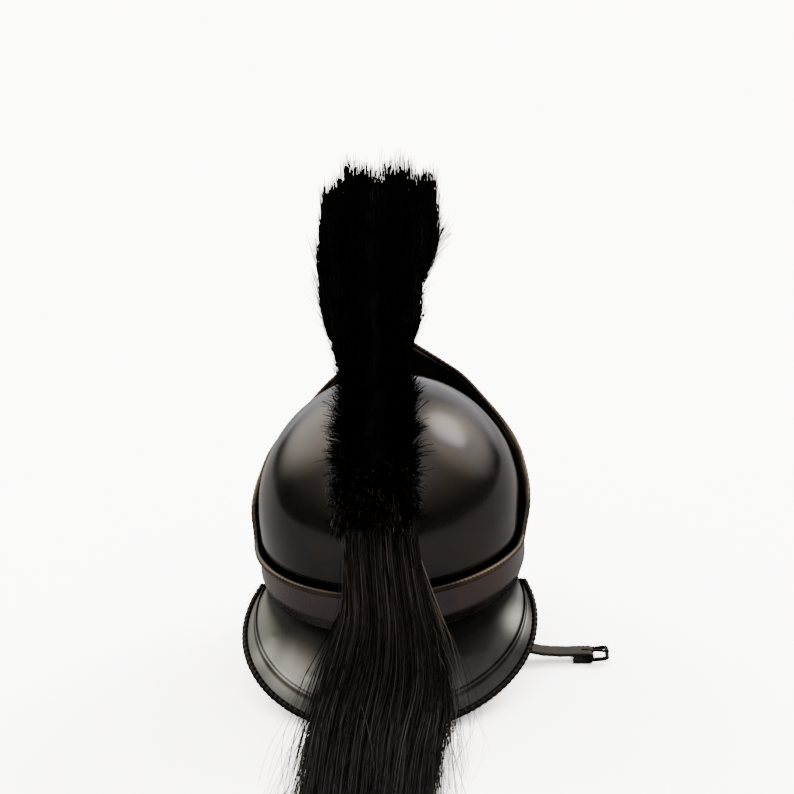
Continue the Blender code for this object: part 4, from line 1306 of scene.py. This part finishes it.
def tail_route():
    """Rows down the tail: sideways, back and up, then shares of its half width and half thickness."""
    root = crown_point(HOLDER_BACK_ANGLE, GAP + HOLDER_HEIGHT / 2)
    down = (crown_point(HOLDER_BACK_ANGLE + 0.5, GAP + HOLDER_HEIGHT / 2) - root).normalized()
    below = root + down * TAIL_HALF_THICKNESS
    seat = TAIL_HALF_THICKNESS * (1 + LOCK_DEPTH) + GAP
    rim = DOME_HALF_LENGTH + GAP + 2 * ROLL_RADIUS + seat
    edge = GUARD_CENTRE + GUARD_HALF_LENGTH
    rest = TAIL_REACH - edge
    return (
        (0.0, root.y, root.z, 0.44, 0.33),
        (0.3 * TAIL_DRIFT, below.y, below.z, 0.50, 0.42),
        (0.7 * TAIL_DRIFT, DOME_HALF_LENGTH + 0.95 * seat, EQUATOR_HEIGHT + 0.07 * DOME_RISE, 0.58, 0.80),
        (1.0 * TAIL_DRIFT, rim + GAP, RIM_HEIGHT, 0.68, 1.00),
        (0.9 * TAIL_DRIFT, rim + 3 * GAP, (RIM_HEIGHT + BAND_BOTTOM) / 2, 0.78, 1.00),
        (0.7 * TAIL_DRIFT, rim + 8 * GAP, 0.80 * BAND_BOTTOM, 0.90, 1.00),
        (0.4 * TAIL_DRIFT, edge - 0.10 * seat, 0.42 * BAND_BOTTOM, 0.98, 1.00),
        (0.1 * TAIL_DRIFT, edge + 1.25 * seat, 1.30 * seat, 1.00, 0.95),
        (0.0, edge + 0.25 * rest, 1.02 * seat, 0.97, 0.95),
        (0.0, edge + 0.45 * rest, 0.95 * seat, 0.94, 0.90),
        (0.2 * TAIL_DRIFT, edge + 0.72 * rest, 0.78 * seat, 0.92, 0.72),
        (0.3 * TAIL_DRIFT, TAIL_REACH, 0.50 * seat, 0.84, 0.42),
    )


tail_rows = tail_route()
TAIL_SAMPLES = np.linspace(0, 1, 160)
tail_centre = np.array([MIDDLE + smooth_path([Vector(r[:3]) for r in tail_rows], w) for w in TAIL_SAMPLES])
easing = 0.06 + 0.44 * np.clip((TAIL_SAMPLES[1:-1, None] - 0.42) / 0.14, 0, 1)
for _ in range(EASING_PASSES):
    tail_centre[1:-1] += easing * ((tail_centre[:-2] + tail_centre[2:]) / 2 - tail_centre[1:-1])
tail_share = np.array([smooth_path([Vector((r[3], r[4], 0)) for r in tail_rows], w) for w in TAIL_SAMPLES])
print("tail is", round(path_length([Vector(p) for p in tail_centre]), 3), "m along")

# %% [markdown]
# Each hair of the tail keeps its place across and through the tail, apart from a slow wander and the
# pull of its tuft. Some hairs start among the crest's and bend over into the tail, which hides where
# the one ends and the other begins.

# %% The tail's hair
TAIL_STEPS = 12
TAIL_HAIR_WIDTHS = (0.0004, 0.0008)
# How much the tail's hair is painted darker towards its tips, on the floor: painted shade.
TAIL_PAINTED_TIP_SHADE = 0.96


def tail_places(side, depth, w):
    """Points in the tail: side and depth from -1 to 1, w down the tail."""
    at = [np.interp(w, TAIL_SAMPLES, tail_centre[:, axis]) for axis in range(3)]
    step = 0.01
    down = [np.interp(w + step, TAIL_SAMPLES, tail_centre[:, axis])
            - np.interp(w - step, TAIL_SAMPLES, tail_centre[:, axis]) for axis in (1, 2)]
    size = np.maximum(np.hypot(*down), 1e-6)
    out_y, out_z = down[1] / size, -down[0] / size
    half = TAIL_HALF_WIDTH * np.interp(w, TAIL_SAMPLES, tail_share[:, 0])
    thick = TAIL_HALF_THICKNESS * np.interp(w, TAIL_SAMPLES, tail_share[:, 1])
    thick = thick * (1 - 0.62 * np.clip(side, -1, 1) ** 2) * depth
    return np.stack([at[0] + half * side, at[1] - out_y * thick, at[2] - out_z * thick], axis=-1)


def tail_hairs(count, chance, full, loose, tufts):
    side, depth = chance.uniform(-1, 1, count), chance.uniform(-1, 1, count)
    tuft_side = chance.uniform(-1.05, 1.05, tufts)
    tuft_depth = chance.uniform(-0.6, 1.0, tufts)
    home = np.argmin(np.abs(side[:, None] - tuft_side[None, :]), axis=1)
    reach = chance.uniform(*full, count)
    w = np.linspace(0, 1, TAIL_STEPS + 1)[None, :] * reach[:, None]
    pull = chance.uniform(0.0, 0.75, count)[:, None] * np.clip(1.4 * w, 0, 1)
    phase = chance.uniform(0, math.tau, (count, 1))
    sides = side[:, None] + (tuft_side[home] - side)[:, None] * pull
    sides = sides + chance.normal(size=(count, 1)) * loose * w**1.5
    swing = chance.uniform(0.1, 1.0, (count, 1)) * loose
    sides = sides + swing * np.sin(chance.uniform(3, 9, (count, 1)) * w + phase) * w
    depths = depth[:, None] + (tuft_depth[home] - depth)[:, None] * 0.7 * pull
    depths = depths + chance.uniform(0.05, 0.5, (count, 1)) * np.sin(5 * w + 2 * phase) * w
    lines = tail_places(sides, depths, w)
    beyond = np.maximum(0, np.abs(sides) - 0.85)
    lines[:, :, 2] /= 1 + 4 * beyond * np.clip(3 * w - 1.5, 0, 1)
    return lines


def root_hairs(count, chance):
    """Hairs that leave the crest's back end and bend over into the tail."""
    u, v = chance.uniform(0.72, 1.0, count), chance.uniform(-1, 1, count)
    depth, reach = chance.uniform(0, 1.2, count), chance.uniform(0.30, 0.95, count)
    w = np.linspace(0, 1, TAIL_STEPS + 1)[None, :] * reach[:, None]
    rise = chance.uniform(0.5, 1.0, count)[:, None] * np.clip(w / 0.22, 0, 1)
    lines = crest_places(u[:, None] + 0 * w, v[:, None] + 0 * w, rise)
    lines[:, :, 2] -= CREST_DROOP * rise**2
    wander = chance.normal(size=(count, 1)) * 0.15 * w
    down = tail_places(0.9 * v[:, None] + wander, depth[:, None] + 0 * w, w)
    share = np.clip((w - 0.03) / 0.24, 0, 1)[:, :, None]
    share = share * share * (3 - 2 * share)
    return lines * (1 - share) + down * share


TAIL_GROUPS = (
    # how it is drawn, hairs, then least and greatest length, looseness and tufts, nodes
    (tail_hairs, 5500, ((0.84, 1.0), 0.07, 60), ["horsehair_tail"]),
    (tail_hairs, 5000, ((0.66, 1.0), 0.14, 44), []),
    (tail_hairs, 3200, ((0.35, 0.98), 0.22, 90), []),
    (root_hairs, 2400, (), []),
    (tail_hairs, 800, ((0.70, 1.0), 0.50, 200), []),
)


def make_tail():
    share = 1.0
    chance = np.random.default_rng(5)
    for number, (draw, count, how, nodes) in enumerate(TAIL_GROUPS):
        lines = draw(int(count * share), chance, *how)
        width, tone = draw_looks(len(lines), chance, TAIL_HAIR_WIDTHS, (1.0, 3.0), share)
        name = f"tail_hair_{number}"
        lay_hairs(name, lines, width, tone, chance, TAIL_HAIR_LOOK, nodes, TAIL_PAINTED_TIP_SHADE)


def tail_core(u, v):
    ring = math.tau * v
    at = (0.78 * math.cos(ring), 0.55 * math.sin(ring), 0.02 + 0.86 * u)
    return Vector(tail_places(*(np.array([part]) for part in at))[0])


make_tail()
make_core("tail_core", 70, 24, tail_core, TAIL_HAIR_LOOK)
